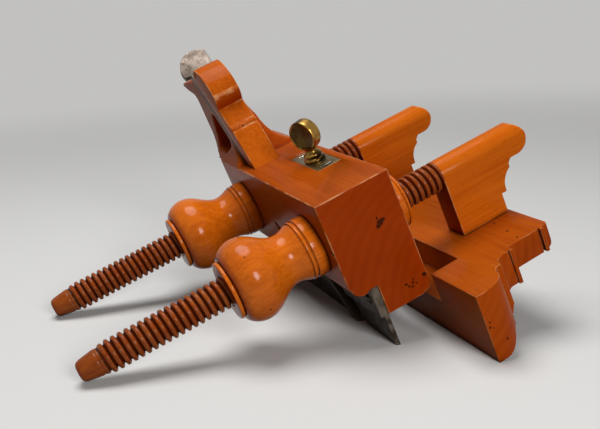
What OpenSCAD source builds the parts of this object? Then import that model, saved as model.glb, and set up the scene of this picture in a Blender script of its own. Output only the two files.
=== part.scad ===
// Screw-arm plough plane in boxwood, shown upright in its working attitude.
// +X points to the toe, +Y to the fence, +Z up. The origin lies on the front skate's sole,
// in the middle of its thickness, right under the front arm.

/* [Stock] */
// Length of the stock from toe to heel
stock_len = 181; // [176:1:230]
// Width of the stock
stock_w = 48.5; // [46:0.5:60]
// Height of the stock's top above the sole
stock_top = 108; // [104:1:125]
// Nut-side face of the stock, measured from the skate's middle
near_w = 15.4; // [13.5:0.1:20]
// Sole to the underside of the stock's guide side: the deepest groove
cut_depth = 27; // [22:0.5:30]
// Width of the sloped cut along the lower guide edge
edge_cut_w = 6.5; // [1:0.5:6.5]
// Height of the sloped cut along the lower guide edge
edge_cut_h = 3; // [1:0.5:8]
// Radius of the nosing under the nut side
nose_r = 6.8; // [5:0.1:6.8]
// Lowest point of the nosing above the sole
nose_z = 45.5; // [44:0.1:48]
// Width of the little flat outside the nosing
nose_flat = 1.2; // [0.4:0.1:2]

/* [Skate] */
// Thickness of the skate's blade
skate_t = 2.8; // [2:0.1:4]
// Thickness of the skate's upper rib
rib_t = 5; // [4:0.1:6.4]
// Top of the skate above the sole
skate_top = 47; // [44:0.5:50]
// Opening in the sole ahead of the cutting edge
mouth = 5; // [3:0.5:9]
// Lean of the front skate's rear end, from upright
mouth_lean = 30; // [10:1:36]
// Top of the rear skate's knife edge above the sole
knife_top = 34; // [20:1:36]
// Width of the throat ahead of the iron, at the nosing
throat_w = 9; // [7:0.2:11]
// Height of the throat's widest place above the nosing
throat_h = 10.8; // [8:0.2:13]
// Round on the lower toe corner of the skate
skate_toe_r = 3; // [1:0.5:6]
// Shank radius of the skate screws
skate_screw_r = 1.8; // [1.2:0.1:2.4]
// Height of the skate screws above the sole
skate_screw_z = 38; // [36:0.5:40]
// How far the skate screws reach into the stock
skate_screw_grip = 10; // [6:0.5:14]
// Distance of the outer skate screws from the stock's ends
skate_screw_inset = 9; // [7:0.5:14]
// Spacing of the two screws in the front skate
front_screw_gap = 17; // [14:0.5:20]
// Spacing of the two screws in the rear skate
rear_screw_gap = 50; // [30:1:56]

/* [Iron and wedge] */
// Cutting edge behind the front arm
edge_back = 10.7; // [8:0.1:14]
// Bed angle of the iron above the sole
bed_angle = 50; // [48:0.5:53]
// Angle of the wedge's front face above the sole
wedge_angle = 57.5; // [55:0.5:59]
// Thickness of the iron
iron_t = 5; // [3:0.1:5.6]
// Width of the iron's shank
iron_w = 19; // [14:0.5:20]
// Width of the cutting edge
edge_w = 9.5; // [6:0.5:13]
// Length of the narrow cutting end, along the iron
edge_len = 52; // [44:1:58]
// Length of the iron
iron_len = 243.6; // [230:0.2:260]
// Radius of the iron's head, round on the nut side
head_r = 14.4; // [12:0.1:15]
// Length of the iron's head below its centre
head_len = 4.2; // [2:0.1:8]
// Grinding angle of the cutting edge
grind_angle = 30; // [22:1:35]
// Depth of the groove in the iron's back
groove_depth = 1.2; // [0.6:0.1:1.5]
// Width of the wedge
wedge_w = 19.4; // [16:0.2:20]
// Middle of the wedge and of the iron's shank, from the skate's middle
wedge_y = 0.6; // [0:0.1:1]
// Thickness of the wedge along X, at the stock's top
wedge_seat = 12; // [11:0.5:14]
// Depth of the wedge below the stock's top
wedge_reach = 33; // [24:1:34]
// Height of the wedge's bead above the stock's top
wedge_bead_h = 25.2; // [20:0.2:28]
// Height of the bead itself
wedge_bead_t = 3.4; // [2:0.1:4]
// Height of the wedge's neck above the stock's top
wedge_neck_h = 40.5; // [38:0.5:44]
// Thickness of the wedge along X, at its neck
wedge_neck = 15.3; // [12:0.1:17]
// Height of the wedge's lip above the stock's top
wedge_lip_h = 47.8; // [46:0.2:52]
// Thickness of the wedge along X, at its lip
wedge_lip = 24.5; // [20:0.5:27]
// Height of the rounded lip itself
wedge_lip_t = 3.8; // [2:0.1:5]
// Height of the wedge's crown above the stock's top
wedge_end_h = 69.2; // [66:0.2:76]
// Thickness of the wedge along X, at its crown
wedge_crown = 17.7; // [14:0.1:20]
// Drop of the wedge's back below its crown
wedge_back = 9; // [4:0.5:14]

/* [Tote] */
// Thickness of the tote's grip
tote_t = 26; // [22:0.5:30]
// Thickness of the tote's top
tote_top_t = 22.6; // [18:0.2:24]
// Middle of the tote's grip, from the skate's middle
tote_y = 4.6; // [2:0.1:8]
// Height of the tote above the stock's top
tote_h = 61.5; // [58:0.5:66]
// Reach of the horn behind the grip's back
horn_reach = 31; // [24:0.5:36]
// Height of the horn's tip above the stock's top
horn_z = 53.5; // [50:0.5:55]
// Thickness of the horn at its root
horn_t = 9.6; // [7:0.2:11]
// Thickness of the grip, fore and aft
grip_t = 20; // [16:0.5:23]
// Height of the grip's middle above the stock's top
grip_h = 28; // [26:0.5:30]
// Thickness along X of the post behind the iron
post_t = 7; // [6:0.5:9]
// Width of the hand hole at the grip's middle
hole_room = 13.3; // [12:0.1:18]
// Lowest floor of the hand hole above the stock's top
hole_floor = 4.4; // [4:0.2:7]
// Height of the hand hole's front foot above the stock's top
hole_foot = 13; // [10:0.5:15]
// Height of the hand hole's top above the stock's top
hole_top = 34; // [32:0.5:38]
// Corner radius of the hand hole
hole_r = 3.5; // [2:0.5:4]
// Height of the coves that spread the tote to the stock's width
flare_h = 20; // [14:1:24]
// Length of the tote's tenon
tenon_len = 22; // [14:1:26]
// Thickness of the tote's tenon
tenon_t = 12; // [8:0.5:16]
// Depth of the tote's tenon
tenon_depth = 12; // [6:0.5:14]

/* [Depth stop] */
// Middle of the depth stop behind the front arm
stop_back = 46.3; // [44:0.1:48]
// Middle of the depth stop, from the skate's middle
stop_y = 19.3; // [18.6:0.1:19.6]
// Length of the brass plate
plate_len = 47; // [36:1:50]
// Width of the brass plate
plate_w = 16.5; // [14:0.5:17]
// Thickness of the brass plate
plate_t = 2; // [1.2:0.1:3]
// Spacing of the plate's screws
plate_screw_gap = 37; // [30:1:37]
// Head radius of the plate's screws
plate_screw_r = 4; // [3:0.1:4.4]
// Length of the plate's screws
plate_screw_len = 12; // [8:0.5:16]
// Radius of the stop's spindle
spindle_r = 3; // [2.4:0.1:3.2]
// Radius of the thumbscrew's disc
knob_r = 10; // [8:0.5:11]
// Thickness of the thumbscrew's disc
knob_t = 7.6; // [4:0.1:8]
// Height of the disc's middle above the plate
knob_h = 17.5; // [17:0.5:21]
// Radius of the thumbscrew's foot
knob_foot_r = 7; // [6:0.1:7.4]
// Turn of the thumbscrew at rest
knob_turn = 27; // [0:1:90]
// Length of the stop's foot
foot_len = 56; // [40:1:60]
// Width of the stop's foot
foot_w = 13; // [12:0.5:13]
// Thickness of the stop's foot
foot_t = 5; // [3:0.5:6]
// Width of the stop's square stem
stem_w = 10; // [8.6:0.2:11]
// Height of the stop's stem above its foot
stem_h = 38; // [36:0.5:40]
// Lowering of the stop at full reach
stop_travel = 24; // [12:0.5:24]
// Radius of the collar that holds the spindle down
collar_r = 5.4; // [4.6:0.1:6]
// Thickness of the collar
collar_t = 3; // [2:0.1:4]

/* [Screw arms] */
// Outside radius of the screws
screw_r = 9.525; // [8:0.025:10]
// Height of the arm axes above the sole
arm_z = 77; // [74:0.5:79]
// Toe face ahead of the front arm
arm_inset = 29.8; // [27:0.1:34]
// Rear arm ahead of the heel
rear_inset = 32; // [28:0.5:40]
// Reach of the screws on the nut side, from the skate's middle
arm_reach = 168.4; // [150:0.1:180]
// Length of the plain tip
tip_len = 12.5; // [8:0.5:16]
// End radius of the plain tip
tip_r = 6; // [4:0.1:7]
// Pitch of the screws
thread_pitch = 4.233; // [3.5:0.001:5]
// Depth of the screws' grooves
thread_depth = 1.9; // [1:0.1:2.2]

/* [Brackets] */
// Start of the brackets, from the skate's middle
bracket_y = 73; // [69:0.5:80]
// Length of a bracket along its ridge
ridge_len = 62.4; // [58:0.1:70]
// Length of a bracket along its base
base_len = 34.2; // [30:0.1:35]
// Height of the bracket's foot below its cove
bracket_foot_h = 12.5; // [10:0.5:16]
// Radius of the cove in the bracket's end
bracket_cove_r = 13.5; // [10:0.5:14]
// Ledge between the foot and the cove
bracket_ledge = 3.6; // [2:0.1:5]
// Step between the cove and the round nose
bracket_step = 2.4; // [1:0.1:3]

/* [Nuts] */
// Largest radius of the nut
nut_r = 25.8; // [22:0.1:28]
// Length of the nut
nut_len = 56; // [52:0.5:60]
// Radius of the nut's waist
nut_waist_r = 15.7; // [14:0.1:16.6]
// Radius of the nut's flange
nut_flange_r = 18.9; // [18:0.1:21]
// Thickness of the nut's flange
nut_flange_t = 13; // [11:0.5:14]
// Radius of the nut's outer end
nut_end_r = 19.6; // [16:0.1:21]
// Radius of the lock discs
disc_r = 18.1; // [16:0.1:20]
// Thickness of the lock discs
disc_t = 2.8; // [2:0.1:4]
// Radius of the inner nuts
inner_r = 18.4; // [16:0.1:20]
// Thickness of the inner nuts
inner_t = 10.6; // [7:0.1:13]

/* [Fence] */
// Set of the fence: its face from the skate's middle
fence_set = 35; // [35:0.5:38]
// Height of the fence's face
fence_h = 44.2; // [42:0.2:50]
// Height of the fence's top above the sole
fence_top = 36.3; // [34:0.1:40]
// Width of the fence
fence_w = 73.8; // [72.5:0.1:80]
// Length of the fence along its face
fence_len = 277; // [272:1:300]
// Thickness of the fence's shelf
shelf_t = 15.8; // [12:0.1:18]
// Width of the fence's deep part
deep_w = 21.8; // [21:0.1:30]
// Flat under the deep part
deep_flat = 6; // [2:0.5:8]
// Width of the rebate that clears the stock
rebate_w = 19.4; // [16:0.1:19.8]
// Depth of the rebate
rebate_d = 19.3; // [14:0.1:20]
// Height of the round under the fence's outer edge
edge_round_h = 6.6; // [4:0.1:9]
// Width of the round under the fence's outer edge
edge_round_w = 5.2; // [3:0.1:8]
// Radius of the fence's outer corner
corner_r = 2.4; // [1:0.1:3.5]
// Length of the quarter round at the fence's end
ovolo_len = 13.5; // [8:0.5:16]
// Width of the quarter round at the fence's end
ovolo_w = 18.9; // [14:0.1:20]
// Radius of the cove at the fence's end
fence_cove_r = 8; // [5:0.5:9]
// Length of the fillets at the fence's end
fillet_w = 3.6; // [2:0.1:4]
// Width of the reed beside the cove at the fence's end
reed_w = 4.4; // [3:0.1:6]
// Width of the reed at the fence's outer corner
corner_reed_w = 2.2; // [1.6:0.1:3]
// Depth of the sunk lines beside the reeds
quirk = 1.2; // [0.6:0.1:1.6]
// Shank radius of the fence screws
fence_screw_r = 2.4; // [1.8:0.1:3]
// Head radius of the fence screws
fence_head_r = 4.6; // [4:0.1:5.5]
// Length of the fence screws
fence_screw_len = 34; // [28:1:42]
// Width of the screw slots
slot_w = 0.9; // [0.6:0.1:1.2]

/* [Clearances] */
// Gap between bodies that move past each other
gap = 0.3; // [0.2:0.05:0.5]
// Radial room of a turning shaft
run_gap = 0.08; // [0.04:0.01:0.1]
// Room around fixed pieces in their seats
seat_gap = 0.1; // [0.05:0.01:0.2]
// Room beside the wedge and the stop's foot
side_gap = 0.4; // [0.3:0.05:0.6]

/* [Hidden] */
$fn = 64;

boxwood = [0.80, 0.43, 0.12];
dark_boxwood = [0.48, 0.20, 0.08];
brass = [0.72, 0.56, 0.22];
steel = [0.52, 0.47, 0.42];

// Cuts run this far past the faces they open
past = 1;
toe_x = arm_inset;
heel_x = toe_x - stock_len;
guide_y = stock_w - near_w;
blade_y = skate_t / 2;
rib_y = blade_y - rib_t;
slot_y = blade_y + gap;
stop_x = -stop_back;
front_arm_x = 0;
rear_arm_x = heel_x + rear_inset;
edge_x = front_arm_x - edge_back;
fence_mid_x = (front_arm_x + rear_arm_x) / 2;
outer_y = fence_set + fence_w;
nose_c = [-near_w + nose_flat + nose_r, nose_z + nose_r];
nose_low = nose_c[1] - nose_r / 2;
wedge_tip_z = stock_top - wedge_reach;
bed_dir = [-cos(bed_angle), sin(bed_angle)];

// Lines of the iron, its bed and the wedge, as X at a height above the sole
function face_x(z) = edge_x - z / tan(bed_angle);
function along(t) = t / sin(bed_angle);
function bed_x(z) = face_x(z) - along(iron_t + gap);
function front_x(z) = face_x(stock_top) + wedge_seat - (z - stock_top) / tan(wedge_angle);
function above(h) = stock_top + h;

// Points on an ellipse about c, with half axes a and b, from angle p to angle q
function arc(c, a, b, p, q, n = 12) =
    [for (i = [0:n]) let (t = p + (q - p) * i / n) c + [a * cos(t), b * sin(t)]];

// Points of a circular arc from p to q that bulges by h to the left of its run
function bulge(p, q, h, n = 10) =
    let (d = q - p, m = (p + q) / 2, w = norm(d), u = [-d[1], d[0]] / w)
    let (r = (w * w / 4 + h * h) / (2 * h), c = m + u * (h - r))
    let (s = atan2(p[1] - c[1], p[0] - c[0]), f = atan2(q[1] - c[1], q[0] - c[0]))
    let (turn = f - s > 180 ? f - s - 360 : f - s < -180 ? f - s + 360 : f - s)
    [for (i = [0:n]) c + abs(r) * [cos(s + turn * i / n), sin(s + turn * i / n)]];

// Points of a smooth cubic from p to q with handles a and b
function cubic(p, a, b, q, n = 8) =
    [for (i = [0:n]) let (t = i / n, v = 1 - t)
        v * v * v * p + 3 * v * v * t * a + 3 * v * t * t * b + t * t * t * q];

// A section drawn in Y and Z, run along X between two places
module along_x(from, to) {
    translate([from, 0, 0]) rotate([90, 0, 90]) linear_extrude(to - from) children();
}

// A side view drawn in X and Z, run along Y between two places
module along_y(from, to) {
    translate([0, to, 0]) rotate([90, 0, 0]) linear_extrude(to - from) children();
}

// A cylinder along +Y from a point
module rod_y(at, r, len) {
    translate(at) rotate([-90, 0, 0]) cylinder(r = r, h = len);
}

module at_arms() {
    for (x = [front_arm_x, rear_arm_x]) translate([x, 0, arm_z]) children();
}

skate_screw_xs = [toe_x - skate_screw_inset, toe_x - skate_screw_inset - front_screw_gap,
    heel_x + skate_screw_inset, heel_x + skate_screw_inset + rear_screw_gap];

// Stock

module stock_blank() {
    difference() {
        union() {
            along_x(heel_x, toe_x) polygon([[-near_w, nose_c[1]], [-near_w, stock_top], [guide_y, stock_top],
                [guide_y, cut_depth + edge_cut_h], [guide_y - edge_cut_w, cut_depth],
                [slot_y, cut_depth], [slot_y, skate_top], [rib_y, skate_top], [rib_y, nose_low],
                [nose_c[0] - nose_r * 0.8, nose_low], [nose_c[0] - nose_r * 0.8, nose_c[1]]]);
            along_x(heel_x, toe_x) translate(nose_c) circle(nose_r);
        }
        translate([heel_x - past, rib_y - seat_gap, 0])
            cube([stock_len + 2 * past, slot_y - rib_y + seat_gap, skate_top]);
    }
}

slot_l = wedge_y - max(wedge_w, iron_w) / 2 - side_gap;
slot_r = wedge_y + max(wedge_w, iron_w) / 2 + side_gap;
throat_x = edge_x - mouth * 1.6;
throat_mid = [face_x(nose_z) + throat_w, nose_z + throat_h];

module mortise() {
    top = stock_top + past;
    low = cut_depth - past;
    mouth_z = nose_z - past;
    along_y(slot_l, slot_r) polygon([[bed_x(top), top], [front_x(top) + gap, top],
        [front_x(wedge_tip_z) + gap, wedge_tip_z], throat_mid, [throat_x, low], [bed_x(low), low]]);
    // The mouth at the side, where the shavings leave
    along_y(-near_w - past, 0) polygon([[face_x(mouth_z), mouth_z], [face_x(wedge_tip_z), wedge_tip_z],
        [front_x(wedge_tip_z), wedge_tip_z], throat_mid, [throat_x, mouth_z]]);
}

module stop_cavity() {
    translate([stop_x, stop_y, 0]) {
        // Seat of the brass plate, and the collar's pocket under it
        translate([-plate_len / 2 - seat_gap, -plate_w / 2 - seat_gap, stock_top - plate_t])
            cube([plate_len + 2 * seat_gap, plate_w + 2 * seat_gap, plate_t + past]);
        translate([0, 0, stock_top - plate_t - collar_t - 2 * gap])
            cylinder(r = collar_r + gap, h = collar_t + 2 * gap + past);
        // Way of the spindle, the square stem and the foot
        translate([0, 0, cut_depth]) cylinder(r = spindle_r + gap, h = stock_top - cut_depth);
        translate([-stem_w / 2 - gap, -stem_w / 2 - gap, cut_depth])
            cube([stem_w + 2 * gap, stem_w + 2 * gap, foot_t + stem_h + gap]);
        translate([-foot_len / 2 - side_gap, -foot_w / 2 - side_gap, cut_depth - past])
            cube([foot_len + 2 * side_gap, foot_w + 2 * side_gap, foot_t + past + gap]);
        for (s = [-1, 1]) translate([s * plate_screw_gap / 2, 0, stock_top - plate_screw_len - seat_gap])
            cylinder(r = plate_screw_r / 2 + seat_gap, h = plate_screw_len);
    }
}

tenon_x = (bed_x(stock_top) + heel_x - tenon_len) / 2;

module stock() {
    color(boxwood) difference() {
        stock_blank();
        mortise();
        stop_cavity();
        at_arms() rod_y([0, -near_w - past, 0], screw_r + gap, stock_w + 2 * past);
        for (x = skate_screw_xs)
            rod_y([x, 0, skate_screw_z], skate_screw_r + seat_gap, blade_y + skate_screw_grip + seat_gap);
        translate([tenon_x - seat_gap, tote_y - tenon_t / 2 - seat_gap, stock_top - tenon_depth - seat_gap])
            cube([tenon_len + 2 * seat_gap, tenon_t + 2 * seat_gap, tenon_depth + past]);
    }
}

// Tote

grip_x = bed_x(above(grip_h)) - post_t - hole_room - grip_t;

// Side view of the tote, from the bed round the heel, the grip, the horn and the top
module tote_side() {
    heel = [heel_x, stock_top];
    over = grip_x - heel_x;
    low = [grip_x, above(grip_h * 0.75)];
    high = [grip_x, above(grip_h * 1.35)];
    tip = [grip_x - horn_reach, above(horn_z)];
    root = [grip_x - horn_reach * 0.4, tip[1] - horn_t * 0.58];
    front = [bed_x(above(tote_h)), above(tote_h)];
    crest = tip + (front - tip) * 0.05;
    polygon(concat([[bed_x(stock_top), stock_top]],
        cubic(heel, heel + [over * 0.6, grip_h * 0.01], [grip_x, above(grip_h * 0.3)], low),
        cubic(high, high + [0, horn_t], root + [horn_reach * 0.27, -horn_t * 0.14], root),
        cubic(root, root + [-horn_reach * 0.25, horn_t * 0.1], tip + [horn_reach * 0.1, -horn_t * 0.2], tip),
        cubic(tip, tip + [-horn_t * 0.1, horn_t * 0.14], crest - (front - tip) * 0.03, crest, 4),
        [front]));
}

// Hand hole between the post behind the iron and the grip, leaning as the grip does
module hand_hole_side() {
    floor_z = above(hole_floor);
    foot = [bed_x(above(hole_foot)) - post_t, above(hole_foot)];
    top = [bed_x(above(hole_top)) - post_t, above(hole_top)];
    mid = [grip_x + grip_t, above(grip_h)];
    low = [grip_x + grip_t * 0.68, floor_z + hole_foot * 0.45];
    offset(r = hole_r, $fn = 32) offset(delta = -hole_r)
        polygon(concat([foot, top, top - [hole_room * 0.36, 0]],
            cubic(mid, mid + [-hole_room * 0.25, -grip_h * 0.2], low + [0, grip_h * 0.25], low),
            [low + [grip_t * 0.12, -hole_foot * 0.37], [(foot[0] + low[0]) / 2, floor_z]]));
}

// Front view of the tote: a grip that spreads to the stock's width in coves
module tote_front() {
    l = tote_y - tote_t / 2;
    r = tote_y + tote_t / 2;
    top_r = l + tote_top_t;
    ease = tote_t / 5;
    polygon(concat(
        cubic([-near_w, stock_top], [-near_w + (l + near_w) * 0.59, above(flare_h * 0.25)],
            [l, above(flare_h * 0.5)], [l, above(flare_h)]),
        [[l, above(tote_h) - ease], [l + ease, above(tote_h)], [top_r - ease, above(tote_h)],
            [top_r, above(tote_h) - ease], [top_r, above(tote_h * 0.6)]],
        cubic([r, above(flare_h * 1.2)], [r, above(flare_h * 0.5)],
            [r + (guide_y - r) * 0.41, above(flare_h * 0.25)], [guide_y, stock_top])));
}

module tote() {
    color(boxwood) {
        difference() {
            intersection() {
                along_y(-near_w, guide_y) tote_side();
                along_x(grip_x - horn_reach - past, toe_x) tote_front();
            }
            along_y(-near_w - past, guide_y + past) hand_hole_side();
        }
        translate([tenon_x, tote_y - tenon_t / 2, stock_top - tenon_depth])
            cube([tenon_len, tenon_t, tenon_depth + past]);
    }
}

// Wedge

module wedge() {
    function at(h, t) = [face_x(above(h)) + along(gap) + t, above(h)];
    t = wedge_bead_t;
    front = [front_x(above(wedge_bead_h)), above(wedge_bead_h)];
    neck = at(wedge_neck_h, wedge_neck);
    lip = at(wedge_lip_h, wedge_lip);
    brow = lip + [-wedge_lip_t * 0.24, wedge_lip_t];
    crown = at(wedge_end_h, wedge_crown);
    color(boxwood) along_y(wedge_y - wedge_w / 2, wedge_y + wedge_w / 2)
        polygon(concat([at(-wedge_reach, 0), [front_x(wedge_tip_z), wedge_tip_z], front, front + [-0.3, 0.1] * t],
            bulge(front + [-0.3, 0.25] * t, front + [-0.85, 0.95] * t, -0.2 * t),
            [front + [-1.15, 1] * t],
            bulge(neck, lip, -0.6),
            bulge(lip, brow, -0.12 * wedge_lip_t),
            cubic(brow, brow + [-0.5, 2.1] * wedge_lip_t, crown + [wedge_crown * 0.56, -0.5], crown, 12),
            bulge(crown, at(wedge_end_h - wedge_back, 0), -0.1 * wedge_back)));
}

// Iron

// The iron is drawn lying flat, with its edge at the origin and its face upwards,
// then stood up along the bed
module iron() {
    head_at = iron_len - head_r;
    shoulder = (iron_w - edge_w) / 2 + wedge_y;
    l = wedge_y - iron_w / 2;
    r = wedge_y + iron_w / 2;
    color(steel) translate([edge_x, 0, 0]) rotate([0, 180 + bed_angle, 0]) mirror([0, 0, 1]) difference() {
        translate([0, 0, -iron_t]) linear_extrude(iron_t) polygon(concat(
            [[0, -edge_w / 2], [0, edge_w / 2], [edge_len, edge_w / 2], [edge_len + shoulder, r]],
            arc([head_at, wedge_y], head_r, head_r, asin(iron_w / 2 / head_r), -90 - asin(head_len / head_r), 24),
            [[head_at - head_len, l], [edge_len + shoulder, l], [edge_len, -edge_w / 2]]));
        // Ground bevel on the back
        along_y(-edge_w, edge_w) polygon([[-past, past], [0, 0],
            [iron_t / tan(grind_angle) + past, -iron_t - past * tan(grind_angle)], [-past, -iron_t - past]]);
        // Groove that rides on the rear skate's knife edge
        along_x(-past, edge_len + shoulder) translate([0, -iron_t])
            polygon([[-groove_depth, 0], [0, groove_depth], [groove_depth, 0], [0, -past]]);
    }
}

// Skate

module skate_plate(points) {
    along_y(-blade_y, blade_y) polygon(points);
    intersection() {
        along_y(rib_y, -blade_y) polygon(points);
        translate([heel_x, rib_y, cut_depth]) cube([stock_len, rib_t, skate_top]);
    }
}

module skate_holes() {
    for (x = skate_screw_xs)
        rod_y([x, rib_y - past, skate_screw_z], skate_screw_r + seat_gap, rib_t + 2 * past);
}

module front_skate() {
    color(steel) difference() {
        skate_plate(concat([[edge_x + mouth, 0]],
            arc([toe_x - skate_toe_r, skate_toe_r], skate_toe_r, skate_toe_r, -90, 0),
            [[toe_x, skate_top], [edge_x + mouth - skate_top * tan(mouth_lean), skate_top]]));
        skate_holes();
    }
}

module rear_skate() {
    lead = along(groove_depth - gap);
    low_x = bed_x(0);
    color(steel) difference() {
        union() {
            skate_plate([[low_x, 0], [bed_x(skate_top), skate_top], [heel_x, skate_top], [heel_x, 8], [heel_x + 8, 0]]);
            // Knife edge that carries the iron in its groove
            intersection() {
                along_y(-blade_y, blade_y) polygon([[low_x - past, 0], [low_x + lead + past, 0],
                    [bed_x(knife_top) + lead + past, knife_top], [bed_x(knife_top) - past, knife_top]]);
                translate([edge_x, 0, 0]) rotate([0, bed_angle, 0]) translate([-skate_top * 2, 0, -iron_t - gap])
                    rotate([90, 0, 90]) linear_extrude(skate_top * 3)
                    polygon([[-groove_depth + gap, -past], [-groove_depth + gap, 0], [0, groove_depth - gap],
                        [groove_depth - gap, 0], [groove_depth - gap, -past]]);
            }
        }
        skate_holes();
    }
}

module skate_screws() {
    color(steel) for (x = skate_screw_xs) translate([x, rib_y, skate_screw_z]) rotate([-90, 0, 0]) {
        difference() {
            translate([0, 0, -1.4]) cylinder(r1 = skate_screw_r + 1, r2 = skate_screw_r + 1.5, h = 1.4);
            translate([-skate_screw_r * 2, -0.4, -1.4 - past]) cube([skate_screw_r * 4, 0.8, past + 0.7]);
        }
        cylinder(r = skate_screw_r, h = rib_t + skate_screw_grip);
    }
}

// Depth stop

module stop_plate() {
    color(brass) translate([stop_x, stop_y, stock_top - plate_t]) difference() {
        translate([-plate_len / 2, -plate_w / 2, 0]) cube([plate_len, plate_w, plate_t]);
        translate([0, 0, -past]) cylinder(r = spindle_r + run_gap, h = plate_t + 2 * past);
        for (s = [-1, 1]) translate([s * plate_screw_gap / 2, 0, 0])
            cylinder(r1 = plate_screw_r - plate_t / 2 + seat_gap, r2 = plate_screw_r + seat_gap, h = plate_t);
    }
}

module stop_plate_screws() {
    color(brass) for (s = [-1, 1]) translate([stop_x + s * plate_screw_gap / 2, stop_y, stock_top - plate_t]) {
        difference() {
            cylinder(r1 = plate_screw_r - plate_t / 2, r2 = plate_screw_r, h = plate_t);
            translate([-slot_w / 2, -plate_screw_r - past, plate_t / 2])
                cube([slot_w, 2 * (plate_screw_r + past), plate_t]);
        }
        translate([0, 0, plate_t - plate_screw_len]) cylinder(r = plate_screw_r / 2, h = plate_screw_len - plate_t);
    }
}

module stop_knob() {
    bead = 1.2;
    f = knob_foot_r;
    neck_top = knob_h - knob_r * 0.8;
    color(brass) translate([stop_x, stop_y, stock_top + gap]) rotate([0, 0, knob_turn]) {
        // Turned foot and neck
        rotate_extrude() polygon(concat([[0, 0], [f, 0], [f, f * 0.23], [f * 0.88, f * 0.32], [f * 0.76, f * 0.37]],
            bulge([f * 0.78, f * 0.42], [f * 0.8, f * 0.7], -f * 0.09, 6),
            cubic([f * 0.66, f * 0.78], [f * 0.5, f * 0.9], [f * 0.52, neck_top - f * 0.2], [f * 0.66, neck_top]),
            [[0, neck_top]]));
        // Upright thumb disc with an eased rim
        translate([0, 0, knob_h]) rotate([90, 0, 0]) rotate_extrude() {
            square([knob_r - bead, knob_t / 2]);
            translate([0, -knob_t / 2]) square([knob_r - bead, knob_t / 2]);
            translate([0, bead - knob_t / 2]) square([knob_r, knob_t - 2 * bead]);
            for (s = [-1, 1]) translate([knob_r - bead, s * (knob_t / 2 - bead)]) circle(bead);
        }
    }
}

spindle_low = cut_depth + foot_t + stem_h - stop_travel - 6;

module stop_screw() {
    color(brass) translate([stop_x, stop_y, spindle_low]) cylinder(r = spindle_r, h = stock_top + gap - spindle_low);
}

module stop_collar() {
    color(brass) translate([stop_x, stop_y, stock_top - plate_t - gap - collar_t]) difference() {
        cylinder(r = collar_r, h = collar_t);
        translate([0, 0, -past]) cylinder(r = spindle_r + seat_gap / 4, h = collar_t + 2 * past);
    }
}

module depth_stop() {
    color(brass) translate([stop_x, stop_y, cut_depth]) difference() {
        union() {
            along_y(-foot_w / 2, foot_w / 2) polygon([[-foot_len / 2, 1.5], [-foot_len / 2 + 3, 0],
                [foot_len / 2 - 3, 0], [foot_len / 2, 1.5], [foot_len / 2, foot_t], [-foot_len / 2, foot_t]]);
            translate([-stem_w / 2, -stem_w / 2, foot_t - past]) cube([stem_w, stem_w, stem_h + past]);
        }
        translate([0, 0, spindle_low - cut_depth - 1]) cylinder(r = spindle_r + run_gap, h = stock_top);
    }
}

// Screw arms with their brackets

// End view of a bracket in Y and Z, with its axis at the origin
module bracket_profile() {
    base = fence_top - arm_z;
    foot = base + bracket_foot_h;
    base_end = bracket_y + base_len;
    nose = bracket_y + ridge_len - screw_r;
    cove = base_end + bracket_ledge;
    cove_top = foot + 1.6 + bracket_cove_r * sin(62);
    polygon(concat([[bracket_y, base], [base_end, base], [base_end, foot], [cove, foot], [cove, foot + 1.6]],
        arc([cove + bracket_cove_r, foot + 1.6], bracket_cove_r, bracket_cove_r, 180, 118),
        [[cove + bracket_cove_r * (1 - cos(62)), cove_top + bracket_step],
            [cove + bracket_cove_r * (1 - cos(62)) + bracket_step, -screw_r]],
        arc([nose, 0], screw_r, screw_r, -90, 90, 16),
        [[bracket_y, screw_r]]));
}

// The grooves are rings, one to a pitch; the tapered tip ends in the first of them
module screw_arm(x) {
    screw_len = bracket_y + past + arm_reach;
    threads = floor((screw_len - tip_len - past) / thread_pitch);
    grooves = [for (i = [0:threads - 1], p = [[0, 0.42], [0, 0.58], [thread_depth, 1]])
        [screw_r - p[0], tip_len + (i + p[1]) * thread_pitch]];
    color(dark_boxwood) translate([x, 0, arm_z]) difference() {
        union() {
            translate([0, -arm_reach, 0]) rotate([-90, 0, 0]) rotate_extrude() polygon(concat([[0, 0], [tip_r, 0],
                [tip_r + 0.9, 0.8], [screw_r - thread_depth + 0.3, tip_len - 1], [screw_r - thread_depth, tip_len]],
                grooves, [[screw_r - thread_depth, screw_len], [0, screw_len]]));
            intersection() {
                along_x(-screw_r, screw_r) bracket_profile();
                along_y(bracket_y, bracket_y + ridge_len) {
                    circle(screw_r);
                    translate([-screw_r, fence_top - arm_z]) square([2 * screw_r, arm_z - fence_top]);
                }
            }
        }
        for (y = fence_screw_ys) translate([0, y, fence_top - arm_z - past])
            cylinder(r = fence_screw_r + seat_gap, h = fence_screw_len - shelf_t + past + seat_gap);
    }
}

module front_arm() { screw_arm(front_arm_x); }
module rear_arm() { screw_arm(rear_arm_x); }

// Nuts, lock discs and inner nuts, turned about the arm axes

module turned(x, y) {
    translate([x, y, arm_z]) rotate([90, 0, 0]) rotate_extrude() children();
}

bore_r = screw_r + gap;

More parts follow.
